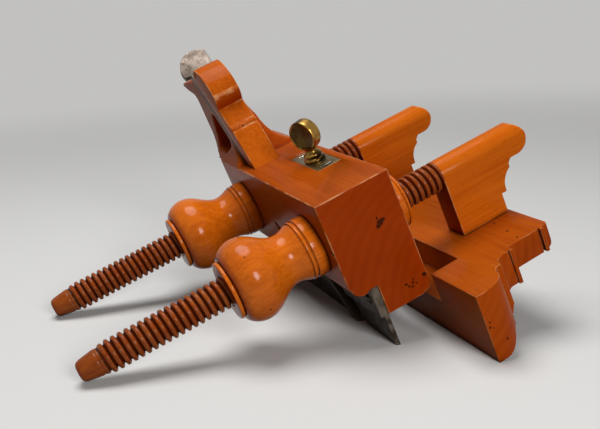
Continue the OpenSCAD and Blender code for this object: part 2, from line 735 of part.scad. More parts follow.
module nut(x) {
    f = nut_flange_r;
    t = nut_flange_t;
    w = nut_waist_r;
    waist = nut_len * 0.35;
    bulb = nut_len * 0.785;
    color(boxwood) turned(x, -near_w - gap) polygon(concat(
        [[bore_r, 0], [f - 0.5, 0], [f, 0.6], [f, t - 4.6], [f - 1, t - 4.2], [f - 1, t - 3.5],
            [f - 0.2, t - 3.1], [f - 0.2, t - 2.1], [f - 1.2, t - 1.7], [f - 1.2, t - 1], [f - 0.7, t - 0.6]],
        cubic([f - 0.9, t], [f - 2.4, t + 2.4], [w, waist - 2.4], [w, waist], 6),
        cubic([w, waist], [w, waist * 1.36], [nut_r, waist * 1.72], [nut_r, bulb], 12),
        cubic([nut_r, bulb], [nut_r, bulb + nut_len * 0.1], [nut_end_r + 3.9, nut_len - 2], [nut_end_r, nut_len], 8),
        [[bore_r, nut_len]]));
}

module lock_disc(x) {
    d = disc_t;
    color(dark_boxwood) turned(x, -near_w - 2 * gap - nut_len) polygon([[bore_r, 0], [disc_r - 0.7, 0], [disc_r, 0.7],
        [disc_r, d - 0.7], [disc_r - 0.7, d], [bore_r, d]]);
}

module inner_nut(x) {
    t = inner_t;
    color(boxwood) turned(x, guide_y + gap + t) polygon([[bore_r, 0], [inner_r - 2.4, 0], [inner_r - 0.8, 0.8],
        [inner_r - 0.2, 2], [inner_r - 1, 2.4], [inner_r - 1, 3.1], [inner_r, 3.5], [inner_r, t - 0.6],
        [inner_r - 0.6, t], [bore_r, t]]);
}

module front_nut() { nut(front_arm_x); }
module rear_nut() { nut(rear_arm_x); }
module front_lock_disc() { lock_disc(front_arm_x); }
module rear_lock_disc() { lock_disc(rear_arm_x); }
module front_inner_nut() { inner_nut(front_arm_x); }
module rear_inner_nut() { inner_nut(rear_arm_x); }

// Fence

fence_screw_ys = [bracket_y + base_len * 0.24, bracket_y + base_len * 0.76];

module fence_section() {
    low = fence_top - fence_h;
    shelf = fence_top - shelf_t;
    flat = fence_set + deep_flat;
    polygon(concat([[fence_set, fence_top], [fence_set, low]],
        arc([flat, shelf], deep_w - deep_flat, shelf - low, -90, 0, 16),
        arc([outer_y - edge_round_w, shelf + edge_round_h], edge_round_w, edge_round_h, -90, 0, 8),
        [[outer_y, fence_top]]));
}

// Half of the fence's outline from above, its moulded end towards +X, its middle at 0
function fence_end() =
    let (end = fence_len / 2, o = [end - ovolo_len, fence_set + 5])
    let (c = [o[0] - fillet_w, o[1] + ovolo_w + 3.5 + fence_cove_r])
    let (ledge = c[0] - fence_cove_r, reed = c[1] + fence_cove_r, flat = ledge - fillet_w)
    let (last = outer_y - edge_round_w - corner_reed_w, corner = [flat - 3 - corner_r, outer_y - corner_r])
    concat([[end, fence_set]], arc(o, ovolo_len, ovolo_w, 0, 90),
        [[c[0], o[1] + ovolo_w], [c[0], o[1] + ovolo_w + 3.5]],
        arc(c, fence_cove_r, fence_cove_r, 270, 180),
        [[ledge, reed - quirk], [ledge - quirk, reed - quirk], [ledge - quirk, reed], [ledge, reed],
            [ledge, reed + reed_w], [flat, reed + reed_w], [flat - 1.6, last - quirk],
            [flat - 1.6 - quirk, last - quirk], [flat - 1.6 - quirk, last], [flat, last],
            [flat, last + corner_reed_w], [corner[0] + corner_r, last + corner_reed_w]],
        arc(corner, corner_r, corner_r, 0, 90, 6));

module fence_plan() {
    half = fence_end();
    n = len(half);
    polygon(concat(half, [for (i = [n - 1:-1:0]) [-half[i][0], half[i][1]]]));
}

module fence() {
    color(boxwood) difference() {
        intersection() {
            along_x(fence_mid_x - fence_len / 2, fence_mid_x + fence_len / 2) fence_section();
            translate([fence_mid_x, 0, fence_top - fence_h]) linear_extrude(fence_h) fence_plan();
        }
        // Stopped rebate that lets the stock's side in
        translate([heel_x - past, fence_set - past, fence_top - rebate_d])
            cube([stock_len + 2 * past, rebate_w + past, rebate_d + past]);
        for (x = [front_arm_x, rear_arm_x], y = fence_screw_ys) translate([x, y, fence_top - shelf_t]) {
            translate([0, 0, -past]) cylinder(r = fence_screw_r + seat_gap, h = shelf_t + 2 * past);
            cylinder(r1 = fence_head_r + seat_gap, r2 = fence_screw_r + seat_gap, h = fence_head_r - fence_screw_r);
        }
    }
}

module fence_screws() {
    color(steel) for (x = [front_arm_x, rear_arm_x], y = fence_screw_ys) translate([x, y, fence_top - shelf_t])
        difference() {
            union() {
                cylinder(r1 = fence_head_r, r2 = fence_screw_r, h = fence_head_r - fence_screw_r);
                cylinder(r = fence_screw_r, h = fence_screw_len);
            }
            translate([-fence_head_r - past, -slot_w / 2, -past]) cube([2 * (fence_head_r + past), slot_w, past + slot_w]);
        }
}

stock();
tote();
wedge();
iron();
front_skate();
rear_skate();
skate_screws();
stop_plate();
stop_plate_screws();
stop_knob();
stop_screw();
stop_collar();
depth_stop();
front_arm();
rear_arm();
front_nut();
rear_nut();
front_lock_disc();
rear_lock_disc();
front_inner_nut();
rear_inner_nut();
fence();
fence_screws();
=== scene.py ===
# %% [markdown]
# A screw-arm plough plane
#
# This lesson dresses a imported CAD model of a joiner's plough plane: a boxwood stock with a
# steel skate, a wedged iron, a brass depth stop, and a moulded fence that rides on two
# wooden screws. The CAD part is loaded as a fixed frame, in metres, and every new piece
# stays where its CAD node is and moves with the same body.

# %% Load the frame
import math

import bmesh
import bpy
from mathutils import Matrix, Vector


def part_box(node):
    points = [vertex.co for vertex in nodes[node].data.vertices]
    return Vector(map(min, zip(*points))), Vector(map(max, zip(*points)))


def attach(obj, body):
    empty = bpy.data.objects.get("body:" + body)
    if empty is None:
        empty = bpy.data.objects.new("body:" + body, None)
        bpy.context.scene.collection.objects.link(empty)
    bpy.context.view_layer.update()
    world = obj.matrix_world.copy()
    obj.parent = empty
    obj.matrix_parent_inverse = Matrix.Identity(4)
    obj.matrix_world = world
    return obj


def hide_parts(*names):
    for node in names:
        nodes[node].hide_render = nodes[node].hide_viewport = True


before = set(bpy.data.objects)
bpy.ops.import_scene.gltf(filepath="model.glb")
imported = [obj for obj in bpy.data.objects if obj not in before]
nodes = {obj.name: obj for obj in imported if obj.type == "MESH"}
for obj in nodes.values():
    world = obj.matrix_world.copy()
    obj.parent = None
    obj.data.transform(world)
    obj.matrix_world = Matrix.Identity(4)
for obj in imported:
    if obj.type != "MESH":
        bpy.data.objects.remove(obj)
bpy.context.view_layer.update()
MM = 0.001

# %% [markdown]
# The camera
#
# The plane is seen from the toe end, a little from above. A camera is a place and three
# directions, so the matrix is built from its right, up and back directions. The lens gives
# the frame of 600 by 429 pixels its angle: a focal length of 894.8 pixels on a 36 mm sensor.

# %% Camera
VIEW_RIGHT = Vector((0.36426, 0.85420, -0.37103))
VIEW_DOWN = Vector((0.20098, -0.46112, -0.86428))
VIEW_AHEAD = Vector((-0.90935, 0.24025, -0.33965))
CAMERA_AT = Vector((475.9, -142.1, 275.1)) * MM
FRAME_WIDTH = 600
FOCAL_PIXELS = 894.8

camera_data = bpy.data.cameras.new("camera")
camera_data.sensor_width = 36
camera_data.lens = camera_data.sensor_width * FOCAL_PIXELS / FRAME_WIDTH
camera_data.clip_start = 0.01
camera = bpy.data.objects.new("camera", camera_data)
bpy.context.scene.collection.objects.link(camera)
turn = Matrix((VIEW_RIGHT, -VIEW_DOWN, -VIEW_AHEAD)).transposed().to_4x4()
camera.matrix_world = Matrix.Translation(CAMERA_AT) @ turn
bpy.context.scene.camera = camera
bpy.context.scene.view_settings.view_transform = "Standard"
print("lens", round(camera_data.lens, 2), "mm")

# %% [markdown]
# Small helpers for shader nodes
#
# Every finish here is procedural, so the script makes many small nodes. These helpers make
# one node with its values and links, an empty group, a colour ramp, a smooth step, a colour
# mix, a sum and a share.

# %% Node group helpers


def new_group(name, inputs, outputs):
    """An empty shader group with named sockets, and its two end nodes."""
    group = bpy.data.node_groups.new(name, "ShaderNodeTree")
    for socket, kind, value in inputs:
        made = group.interface.new_socket(socket, in_out="INPUT", socket_type=kind)
        if value is not None:
            made.default_value = value
    for socket, kind in outputs:
        group.interface.new_socket(socket, in_out="OUTPUT", socket_type=kind)
    start = group.nodes.new("NodeGroupInput")
    end = group.nodes.new("NodeGroupOutput")
    return group, start, end


def add(tree, kind, inputs=None, **settings):
    """A node in a tree: settings are its properties, inputs are values or sockets to link."""
    node = tree.nodes.new(kind)
    for key, value in settings.items():
        setattr(node, key, value)
    for key, value in (inputs or {}).items():
        if isinstance(value, bpy.types.NodeSocket):
            tree.links.new(value, node.inputs[key])
        else:
            node.inputs[key].default_value = value
    return node


def ramp(tree, value, *stops):
    """A colour ramp from (place, colour) stops."""
    node = add(tree, "ShaderNodeValToRGB", {"Fac": value})
    marks = node.color_ramp.elements
    while len(marks) < len(stops):
        marks.new(0.5)
    for mark, (place, colour) in zip(marks, stops):
        mark.position = place
        mark.color = (*colour, 1)
    return node.outputs["Color"]


def band(tree, value, low, high, to_low=0.0, to_high=1.0):
    """A smooth step of a value between low and high."""
    node = add(
        tree,
        "ShaderNodeMapRange",
        {"Value": value, "From Min": low, "From Max": high, "To Min": to_low, "To Max": to_high},
        interpolation_type="SMOOTHSTEP",
    )
    return node.outputs["Result"]


def mixed(tree, factor, first, second):
    """A colour mix."""
    node = add(tree, "ShaderNodeMix", {"Factor": factor}, data_type="RGBA")
    for socket, value in ((node.inputs[6], first), (node.inputs[7], second)):
        if isinstance(value, bpy.types.NodeSocket):
            tree.links.new(value, socket)
        else:
            socket.default_value = (*value, 1)
    return node.outputs[2]


def sum_of(tree, first, second, operation="ADD"):
    """A sum, product or other Math result of two values."""
    return add(tree, "ShaderNodeMath", {0: first, 1: second}, operation=operation).outputs[0]


def scaled(tree, value, share):
    """A value times a share."""
    return sum_of(tree, value, share, "MULTIPLY")


print("node helpers are ready")

# %% [markdown]
# The floor and the light
#
# The plane lies on the two arm tips and the lower edge of its fence, rolled over about
# twenty degrees, while the CAD frame is upright. So it is the floor that is tilted here.
# Its back lets light and sight through, so that low views from the arms' side aren't
# blocked. It is pale to the camera but throws little light back, so that the shaded sides
# stay dark. Far from the object it shows one plain pale tone, which the world shares, so
# that no horizon is seen. Two round soft boxes light the object, placed in the floor's own
# directions: a wide one overhead, and one beside the camera, which leaves a clear round
# glint on each turned nut.

# %% Floor
FLOOR_UP = Vector((0.009, 0.350, 0.937)).normalized()
FLOOR_AT = Vector((78.8, 36.6, -8.2)) * MM
floor_ahead = (VIEW_AHEAD - VIEW_AHEAD.dot(FLOOR_UP) * FLOOR_UP).normalized()
floor_right = floor_ahead.cross(FLOOR_UP)
FLOOR_SIZE = 60.0


def on_floor(right, ahead, up):
    """A place given in metres along the floor's own directions."""
    return FLOOR_AT + floor_right * right + floor_ahead * ahead + FLOOR_UP * up


bm = bmesh.new()
bmesh.ops.create_grid(bm, x_segments=1, y_segments=1, size=FLOOR_SIZE)
bmesh.ops.transform(
    bm,
    matrix=Matrix.Translation(FLOOR_AT) @ Matrix((floor_right, floor_ahead, FLOOR_UP)).transposed().to_4x4(),
    verts=bm.verts,
)
floor_mesh = bpy.data.meshes.new("floor")
bm.to_mesh(floor_mesh)
bm.free()
floor = bpy.data.objects.new("floor", floor_mesh)
bpy.context.scene.collection.objects.link(floor)

PALE = (0.54, 0.535, 0.525, 1)
FLOOR_SEEN, FLOOR_BOUNCE = (0.68, 0.675, 0.66), (0.16, 0.158, 0.155)
NEAR, FAR = 0.35, 1.5
floor_paint = bpy.data.materials.new("floor_paint")
floor_paint.use_nodes = True
tree = floor_paint.node_tree
surface = tree.nodes["Principled BSDF"]
surface.inputs["Roughness"].default_value = 0.7
surface.inputs["Specular IOR Level"].default_value = 0.2


def seen_directly(tree):
    """1 for the camera's own rays and those that it sees in polish and metal."""
    path = add(tree, "ShaderNodeLightPath")
    seen = sum_of(tree, path.outputs["Is Camera Ray"], path.outputs["Is Glossy Ray"], "MAXIMUM")
    return sum_of(tree, seen, path.outputs["Is Transmission Ray"], "MAXIMUM")


paint = mixed(tree, seen_directly(tree), FLOOR_BOUNCE, FLOOR_SEEN)
tree.links.new(paint, surface.inputs["Base Color"])
spot = add(tree, "ShaderNodeTexCoord").outputs["Object"]
away = add(tree, "ShaderNodeVectorMath", {0: spot, 1: FLOOR_AT}, operation="DISTANCE").outputs["Value"]
far_off = sum_of(tree, band(tree, away, NEAR, FAR), seen_directly(tree), "MULTIPLY")
plain = add(tree, "ShaderNodeEmission", {"Color": PALE})
near_or_far = add(
    tree,
    "ShaderNodeMixShader",
    {"Fac": far_off, 1: surface.outputs["BSDF"], 2: plain.outputs["Emission"]},
)
see_through = add(tree, "ShaderNodeBsdfTransparent")
sides = add(tree, "ShaderNodeNewGeometry")
either = add(
    tree,
    "ShaderNodeMixShader",
    {"Fac": sides.outputs["Backfacing"], 1: near_or_far.outputs["Shader"], 2: see_through.outputs["BSDF"]},
)
tree.links.new(either.outputs["Shader"], tree.nodes["Material Output"].inputs["Surface"])
floor_mesh.materials.append(floor_paint)
print("floor faces up along", [round(v, 3) for v in floor_mesh.polygons[0].normal])

# %% Lamps
OBJECT_MIDDLE = Vector((-30, 0, 60)) * MM
SKY, SKY_STRENGTH = (0.92, 0.93, 0.95, 1), 0.07


def lamp(name, place, size, watts):
    """A round soft box that looks at the middle of the object."""
    data = bpy.data.lights.new(name, "AREA")
    data.shape = "DISK"
    data.size = size
    data.energy = watts
    obj = bpy.data.objects.new(name, data)
    bpy.context.scene.collection.objects.link(obj)
    obj.location = place
    obj.rotation_mode = "QUATERNION"
    obj.rotation_quaternion = (OBJECT_MIDDLE - place).to_track_quat("-Z", "Y")


lamp("overhead", on_floor(right=-0.34, ahead=0.22, up=1.2), size=0.8, watts=12.5)
lamp("beside_camera", on_floor(right=0.36, ahead=-1.05, up=0.58), size=0.45, watts=11.0)

world = bpy.data.worlds.new("studio")
world.use_nodes = True
tree = world.node_tree
sky = tree.nodes["Background"]
sky.inputs["Color"].default_value = SKY
sky.inputs["Strength"].default_value = SKY_STRENGTH
backdrop = add(tree, "ShaderNodeBackground", {"Color": PALE})
seen_or_not = add(
    tree,
    "ShaderNodeMixShader",
    {"Fac": seen_directly(tree), 1: sky.outputs["Background"], 2: backdrop.outputs["Background"]},
)
tree.links.new(seen_or_not.outputs["Shader"], tree.nodes["World Output"].inputs["Surface"])
bpy.context.scene.world = world

# %% [markdown]
# Finishes: a few shared effects
#
# Old boxwood is honey-orange, with fine streaks along the grain, short dark flecks and
# broader clouds of tone. That figure is one node group, used by every wooden piece with
# its own directions. A second group turns the mark on the eased arrises into a broken mask,
# for a paler colour that stands for wear and, partly, a painted highlight. A third one paints
# shade into the corners, broken up by noise, and into the thread roots marked for it, and a
# fourth makes one small ragged hole, as worms and knocks do.

# %% Wood figure group
figure, fig_in, fig_out = new_group(
    "wood_figure",
    [("Vector", "NodeSocketVector", None)],
    [("Streaks", "NodeSocketFloat"), ("Clouds", "NodeSocketFloat"), ("Flecks", "NodeSocketFloat")],
)
along = add(figure, "ShaderNodeMapping", {"Vector": fig_in.outputs["Vector"], "Scale": (6, 150, 150)})
streak_noise = add(
    figure, "ShaderNodeTexNoise", {"Vector": along.outputs["Vector"], "Scale": 3.0, "Detail": 6.0, "Roughness": 0.62}
)
wide = add(figure, "ShaderNodeMapping", {"Vector": fig_in.outputs["Vector"], "Scale": (9, 26, 26)})
cloud_noise = add(
    figure, "ShaderNodeTexNoise", {"Vector": wide.outputs["Vector"], "Scale": 1.0, "Detail": 3.0, "Distortion": 0.4}
)
short = add(figure, "ShaderNodeMapping", {"Vector": fig_in.outputs["Vector"], "Scale": (170, 1100, 1100)})
fleck_noise = add(figure, "ShaderNodeTexNoise", {"Vector": short.outputs["Vector"], "Scale": 1.0, "Detail": 2.0})
figure.links.new(streak_noise.outputs["Fac"], fig_out.inputs["Streaks"])
figure.links.new(cloud_noise.outputs["Fac"], fig_out.inputs["Clouds"])
figure.links.new(band(figure, fleck_noise.outputs["Fac"], 0.62, 0.74), fig_out.inputs["Flecks"])
print("group:", figure.name)

# %% Worn arris, old dirt and small hole groups
# A paler colour on marked arrises, broken up by noise: wear, and partly a painted highlight.
arris_group, arris_in, arris_out = new_group(
    "worn_and_highlit_arris", [("Vector", "NodeSocketVector", None)], [("Mask", "NodeSocketFloat")]
)
wear_and_highlight_mark = add(arris_group, "ShaderNodeAttribute", attribute_name="wear_and_highlight")
patchy = add(arris_group, "ShaderNodeTexNoise", {"Vector": arris_in.outputs["Vector"], "Scale": 95.0, "Detail": 4.0})
broken = band(arris_group, patchy.outputs["Fac"], 0.36, 0.62)
arris_group.links.new(sum_of(arris_group, wear_and_highlight_mark.outputs["Fac"], broken, "MULTIPLY"), arris_out.inputs["Mask"])

# Painted shade: darkens the corners that ambient occlusion finds, in noisy patches, and the marked thread roots.
shade_group, shade_in, shade_out = new_group(
    "painted_corner_shade", [("Vector", "NodeSocketVector", None)], [("Mask", "NodeSocketFloat")]
)
corner = add(shade_group, "ShaderNodeAmbientOcclusion", {"Distance": 0.006}, samples=8)
shade_noise = add(shade_group, "ShaderNodeTexNoise", {"Vector": shade_in.outputs["Vector"], "Scale": 60.0, "Detail": 5.0})
closed_in = band(shade_group, corner.outputs["AO"], 0.75, 0.30)
shade_patches = band(shade_group, shade_noise.outputs["Fac"], 0.25, 0.6)
# The thread roots' painted shade, read from their mark.
root_shade_mark = add(shade_group, "ShaderNodeAttribute", attribute_name="root_shade")
shaded_corners = sum_of(shade_group, closed_in, shade_patches, "MULTIPLY")
shade_group.links.new(sum_of(shade_group, shaded_corners, root_shade_mark.outputs["Fac"], "MAXIMUM"), shade_out.inputs["Mask"])

hole, hole_in, hole_out = new_group(
    "small_hole",
    [("Vector", "NodeSocketVector", None), ("Place", "NodeSocketVector", None), ("Radius", "NodeSocketFloat", 0.001)],
    [("Mask", "NodeSocketFloat")],
)
away = add(
    hole,
    "ShaderNodeVectorMath",
    {0: hole_in.outputs["Vector"], 1: hole_in.outputs["Place"]},
    operation="DISTANCE",
)
ragged = add(hole, "ShaderNodeTexNoise", {"Vector": hole_in.outputs["Vector"], "Scale": 800.0, "Detail": 2.0})
reach = sum_of(hole, away.outputs["Value"], hole_in.outputs["Radius"], "DIVIDE")
reach = sum_of(hole, reach, ragged.outputs["Fac"])
hole.links.new(band(hole, reach, 1.6, 1.3), hole_out.inputs["Mask"])
print("groups:", arris_group.name, shade_group.name, hole.name)

# %% [markdown]
# Boxwood
#
# One maker function gives a polished boxwood for a grain direction. Across the ends of a
# piece the figure changes to growth rings, which are darker and redder, because end grain
# drinks the oil. The object-space normal tells which faces cut across the grain. Each wood
# has its own light, middle and dark shade, a list of holes, and a list of chips whose pale
# patch is a painted lit facet, all in millimetres.

# %% Boxwood colours
HONEY, AMBER, TAWNY = (0.41, 0.078, 0.0035), (0.355, 0.059, 0.0026), (0.27, 0.040, 0.0018)
NUT_LIGHT, NUT_MIDDLE, NUT_DARK = (0.66, 0.149, 0.007), (0.54, 0.106, 0.0035), (0.40, 0.067, 0.002)
FENCE_LIGHT, FENCE_MIDDLE, FENCE_DARK = (0.41, 0.080, 0.004), (0.35, 0.060, 0.003), (0.27, 0.040, 0.0015)
WEDGE_LIGHT, WEDGE_MIDDLE, WEDGE_DARK = (0.54, 0.117, 0.006), (0.465, 0.087, 0.0035), (0.36, 0.058, 0.002)
ARM_LIGHT, ARM_MIDDLE, ARM_DARK = (0.60, 0.130, 0.006), (0.53, 0.102, 0.0035), (0.42, 0.069, 0.002)
SCREW_LIGHT, SCREW_MIDDLE, SCREW_DARK = (0.31, 0.068, 0.009), (0.23, 0.045, 0.006), (0.14, 0.024, 0.003)
END_RED, END_DARK = (0.315, 0.035, 0.0014), (0.25, 0.025, 0.001)
FENCE_ENDS = (0.37, 0.055, 0.002), (0.26, 0.032, 0.001)
FLECK = (0.12, 0.018, 0.001)
PALE_ARRIS = (0.66, 0.30, 0.12)
# The next colour darkens the small holes and is the painted shade of corners and thread roots.
HOLE_AND_SHADE_DARK = (0.018, 0.006, 0.002)
OIL = (1.0, 0.48, 0.10, 1)
BED_ANGLE = math.radians(50)
GRAIN_TURN = {"X": (0, 0, 0), "Y": (0, 0, -math.pi / 2), "BED": (0, BED_ANGLE, 0)}
GRAIN_WAY = {"X": (1, 0, 0), "Y": (0, 1, 0), "BED": (-math.cos(BED_ANGLE), 0, math.sin(BED_ANGLE))}
print("grain directions:", list(GRAIN_TURN))

# %% Boxwood maker
RING_SHARE, END_CLOUD_SHARE = 0.12, 0.85
# Shares of the flecks, of the chips painted as lit facets, and of the holes and painted shade.
FLECK_SHARE, LIT_CHIP_SHARE, HOLE_AND_SHADE_SHARE = 0.4, 0.8, 0.88


def hole_mask(tree, spot, x, y, z, radius):
    """The mask of one small hole, given in millimetres."""
    place = {"Vector": spot, "Place": (x * MM, y * MM, z * MM), "Radius": radius * MM}
    return add(tree, "ShaderNodeGroup", place, node_tree=hole).outputs["Mask"]


def boxwood(
    name, grain, shades, roughness=0.30, ring_at=(0, 0, 0), arris=0.75, coat=0.06,
    ends=(END_RED, END_DARK), holes=(), lit_chips=(),
):
    """Polished boxwood with its grain along X, along Y or along the iron's bed."""
    light, middle, dark = shades
    material = bpy.data.materials.new(name)
    material.use_nodes = True
    tree = material.node_tree
    skin = tree.nodes["Principled BSDF"]
    place = add(tree, "ShaderNodeTexCoord")
    spot = place.outputs["Object"]
    lined_up = add(tree, "ShaderNodeMapping", {"Vector": spot, "Rotation": GRAIN_TURN[grain]}).outputs["Vector"]
    grain_look = add(tree, "ShaderNodeGroup", {"Vector": lined_up}, node_tree=figure)
    streaks, clouds, flecks = (grain_look.outputs[part] for part in ("Streaks", "Clouds", "Flecks"))
    tone = sum_of(tree, scaled(tree, streaks, 0.5), scaled(tree, clouds, 0.5))
    long_grain = ramp(tree, tone, (0.34, dark), (0.48, middle), (0.62, light))
    rings = add(tree, "ShaderNodeMapping", {"Vector": lined_up, "Location": ring_at})
    ring_wave = add(
        tree,
        "ShaderNodeTexWave",
        {"Vector": rings.outputs["Vector"], "Scale": 48.0, "Distortion": 7.0, "Detail": 3.0, "Detail Scale": 0.5},
        wave_type="RINGS",
        rings_direction="X",
    )
    ring_tone = scaled(tree, ring_wave.outputs["Fac"], RING_SHARE)
    ring_tone = sum_of(tree, ring_tone, scaled(tree, clouds, END_CLOUD_SHARE))
    end_red, end_dark = ends
    end_grain = ramp(tree, ring_tone, (0.25, end_dark), (0.55, end_red), (0.9, middle))
    facing = add(
        tree,
        "ShaderNodeVectorMath",
        {0: place.outputs["Normal"], 1: GRAIN_WAY[grain]},
        operation="DOT_PRODUCT",
    )
    across = band(tree, sum_of(tree, facing.outputs["Value"], 0, "ABSOLUTE"), 0.55, 0.92)
    colour = mixed(tree, across, long_grain, end_grain)
    colour = mixed(tree, scaled(tree, flecks, FLECK_SHARE), colour, FLECK)
    wear_and_highlight_mask = add(tree, "ShaderNodeGroup", {"Vector": spot}, node_tree=arris_group)
    colour = mixed(tree, scaled(tree, wear_and_highlight_mask.outputs["Mask"], arris), colour, PALE_ARRIS)
    # A chip's pale patch is a painted lit facet.
    for lit_chip in lit_chips:
        colour = mixed(tree, scaled(tree, hole_mask(tree, spot, *lit_chip), LIT_CHIP_SHARE), colour, PALE_ARRIS)
    # Painted shade in corners and thread roots, together with the small holes, darkens the colour.
    holes_and_shade = add(tree, "ShaderNodeGroup", {"Vector": spot}, node_tree=shade_group).outputs["Mask"]
    for dent in holes:
        holes_and_shade = sum_of(tree, holes_and_shade, hole_mask(tree, spot, *dent), "MAXIMUM")
    colour = mixed(tree, scaled(tree, holes_and_shade, HOLE_AND_SHADE_SHARE), colour, HOLE_AND_SHADE_DARK)
    tree.links.new(colour, skin.inputs["Base Color"])
    rough = band(tree, clouds, 0.3, 0.7, roughness - 0.04, roughness + 0.08)
    tree.links.new(sum_of(tree, rough, scaled(tree, holes_and_shade, 0.3)), skin.inputs["Roughness"])
    skin.inputs["Specular IOR Level"].default_value = 0.03
    skin.inputs["Specular Tint"].default_value = OIL
    skin.inputs["Coat Weight"].default_value = coat
    skin.inputs["Coat Roughness"].default_value = 0.14
    relief = sum_of(tree, streaks, scaled(tree, flecks, -0.5))
    relief = sum_of(tree, relief, scaled(tree, holes_and_shade, -3.0))
    bump = add(tree, "ShaderNodeBump", {"Height": relief, "Strength": 0.22, "Distance": 0.0002})
    tree.links.new(bump.outputs["Normal"], skin.inputs["Normal"])
    return material


print("the boxwood maker is ready")

# %% Woods
TOE_X, FENCE_TOP = 29.8, 36.3
toe_holes = [(TOE_X, y, z, r) for y, z, r in (
    (17.3, 81.4, 2.1), (15.4, 79.4, 1.4), (19.6, 82.0, 1.2), (16.4, 84.4, 0.8), (18.2, 38.2, 1.0), (19.6, 36.2, 0.8),
    (22.5, 37.4, 0.9), (21.6, 35.0, 0.7), (24.6, 35.9, 0.7), (23.5, 39.4, 0.6), (31.0, 38.3, 1.5),
)]
fence_holes = [(x, y, FENCE_TOP, r) for x, y, r in ((14.0, 92.7, 0.9), (31.6, 90.2, 0.9), (44.2, 88.5, 0.8))]
fence_holes += [(78.9, 36.9, 15.2, 0.8), (78.9, 37.7, 18.3, 0.6), (78.9, 38.9, 13.9, 0.5), (78.6, 44.7, 3.1, 0.9)]
wedge_holes = [
    (-106.2, -0.5, 134.5, 0.7), (-111.6, 0.4, 142.9, 0.6), (-113.8, -4.3, 146.5, 0.6), (-101.9, 1.2, 127.8, 0.5),
]
nut_holes = [(21.9, -59.7, 63.8, 0.8), (15.3, -45.5, 91.2, 0.7), (16.4, -59.8, 96.6, 0.6)]
# A notch in the toe's arris, drawn only in colour: painted shade in it and a painted lit facet below.
notch_shade = [(28.4, -15.6, 77.3, 1.2), (26.2, -15.7, 77.9, 0.8)]
notch_lit_facet = [(28.8, -15.6, 75.6, 1.1), (26.6, -15.7, 76.2, 0.8)]
stock_wood = boxwood(
    "stock_boxwood", "X", (HONEY, AMBER, TAWNY), ring_at=(0, -0.055, -0.018), arris=0.6,
    holes=toe_holes + notch_shade, lit_chips=notch_lit_facet,
)
fence_wood = boxwood(
    "fence_boxwood", "X", (FENCE_LIGHT, FENCE_MIDDLE, FENCE_DARK), ring_at=(0, -0.02, -0.05), arris=0.4,
    ends=FENCE_ENDS, holes=fence_holes,
)
wedge_wood = boxwood("wedge_boxwood", "BED", (WEDGE_LIGHT, WEDGE_MIDDLE, WEDGE_DARK), holes=wedge_holes)
nut_wood = boxwood(
    "nut_boxwood", "Y", (NUT_LIGHT, NUT_MIDDLE, NUT_DARK), roughness=0.24, arris=0.4, coat=0.28, holes=nut_holes
)
bracket_wood = boxwood("bracket_boxwood", "Y", (ARM_LIGHT, ARM_MIDDLE, ARM_DARK))
screw_wood = boxwood("screw_boxwood", "Y", (SCREW_LIGHT, SCREW_MIDDLE, SCREW_DARK), arris=0.4, coat=0.2)
print("woods:", [m.name for m in bpy.data.materials if "boxwood" in m.name])

# %% [markdown]
# Steel and brass
#
# The skate has a dull brown-grey skin, the iron is finely pitted and painted dark below its
# head as painted shade, so that its head is brighter, and the brass is dark with tarnish and
# gold where hands rub it; the plate screws' pale edges are a painted highlight. All share one
# patina group, which gives broad stains and fine pits.

# %% Patina group
patina, pat_in, pat_out = new_group(
    "patina", [("Vector", "NodeSocketVector", None)], [("Stains", "NodeSocketFloat"), ("Pits", "NodeSocketFloat")]
)
pat_spot = pat_in.outputs["Vector"]
stain_noise = add(
    patina, "ShaderNodeTexNoise", {"Vector": pat_spot, "Scale": 110.0, "Detail": 6.0, "Roughness": 0.65}
)
pit_noise = add(patina, "ShaderNodeTexNoise", {"Vector": pat_spot, "Scale": 900.0, "Detail": 3.0})
patina.links.new(band(patina, stain_noise.outputs["Fac"], 0.38, 0.66), pat_out.inputs["Stains"])
patina.links.new(band(patina, pit_noise.outputs["Fac"], 0.58, 0.70), pat_out.inputs["Pits"])
print("group:", patina.name)

# %% Metals
# The iron is painted dark below this height, as painted shade.
IRON_SHADE_BELOW = 0.168
SHADE_FADE = 0.012


def metal(name, clean, stained, pitted, arris, smoothest, roughest, arris_share=0.6, shade_below=None):
    """A metal with stains and pits, paler on arrises for wear and painted highlight, and painted dark below a given
    height as painted shade.
    """
    material = bpy.data.materials.new(name)
    material.use_nodes = True
    tree = material.node_tree
    skin = tree.nodes["Principled BSDF"]
    skin.inputs["Metallic"].default_value = 1.0
    place = add(tree, "ShaderNodeTexCoord").outputs["Object"]
    age = add(tree, "ShaderNodeGroup", {"Vector": place}, node_tree=patina)
    colour = mixed(tree, age.outputs["Stains"], clean, stained)
    wear_and_highlight_mask = add(tree, "ShaderNodeGroup", {"Vector": place}, node_tree=arris_group)
    bright = scaled(tree, wear_and_highlight_mask.outputs["Mask"], arris_share)
    if shade_below is not None:
        # Painted shade: below the height the colour turns to the pitted dark, and the arris colour stays above it.
        height = add(tree, "ShaderNodeSeparateXYZ", {"Vector": place}).outputs["Z"]
        above_shade = band(tree, height, shade_below - SHADE_FADE, shade_below)
        colour = mixed(tree, above_shade, pitted, colour)
        bright = sum_of(tree, bright, above_shade, "MULTIPLY")
    colour = mixed(tree, age.outputs["Pits"], colour, pitted)
    colour = mixed(tree, bright, colour, arris)
    tree.links.new(colour, skin.inputs["Base Color"])
    rough = band(tree, age.outputs["Stains"], 0.0, 1.0, smoothest, roughest)
    tree.links.new(rough, skin.inputs["Roughness"])
    bump = add(
        tree, "ShaderNodeBump", {"Height": age.outputs["Pits"], "Strength": 0.3, "Distance": 0.0001}, invert=True
    )
    tree.links.new(bump.outputs["Normal"], skin.inputs["Normal"])
    return material


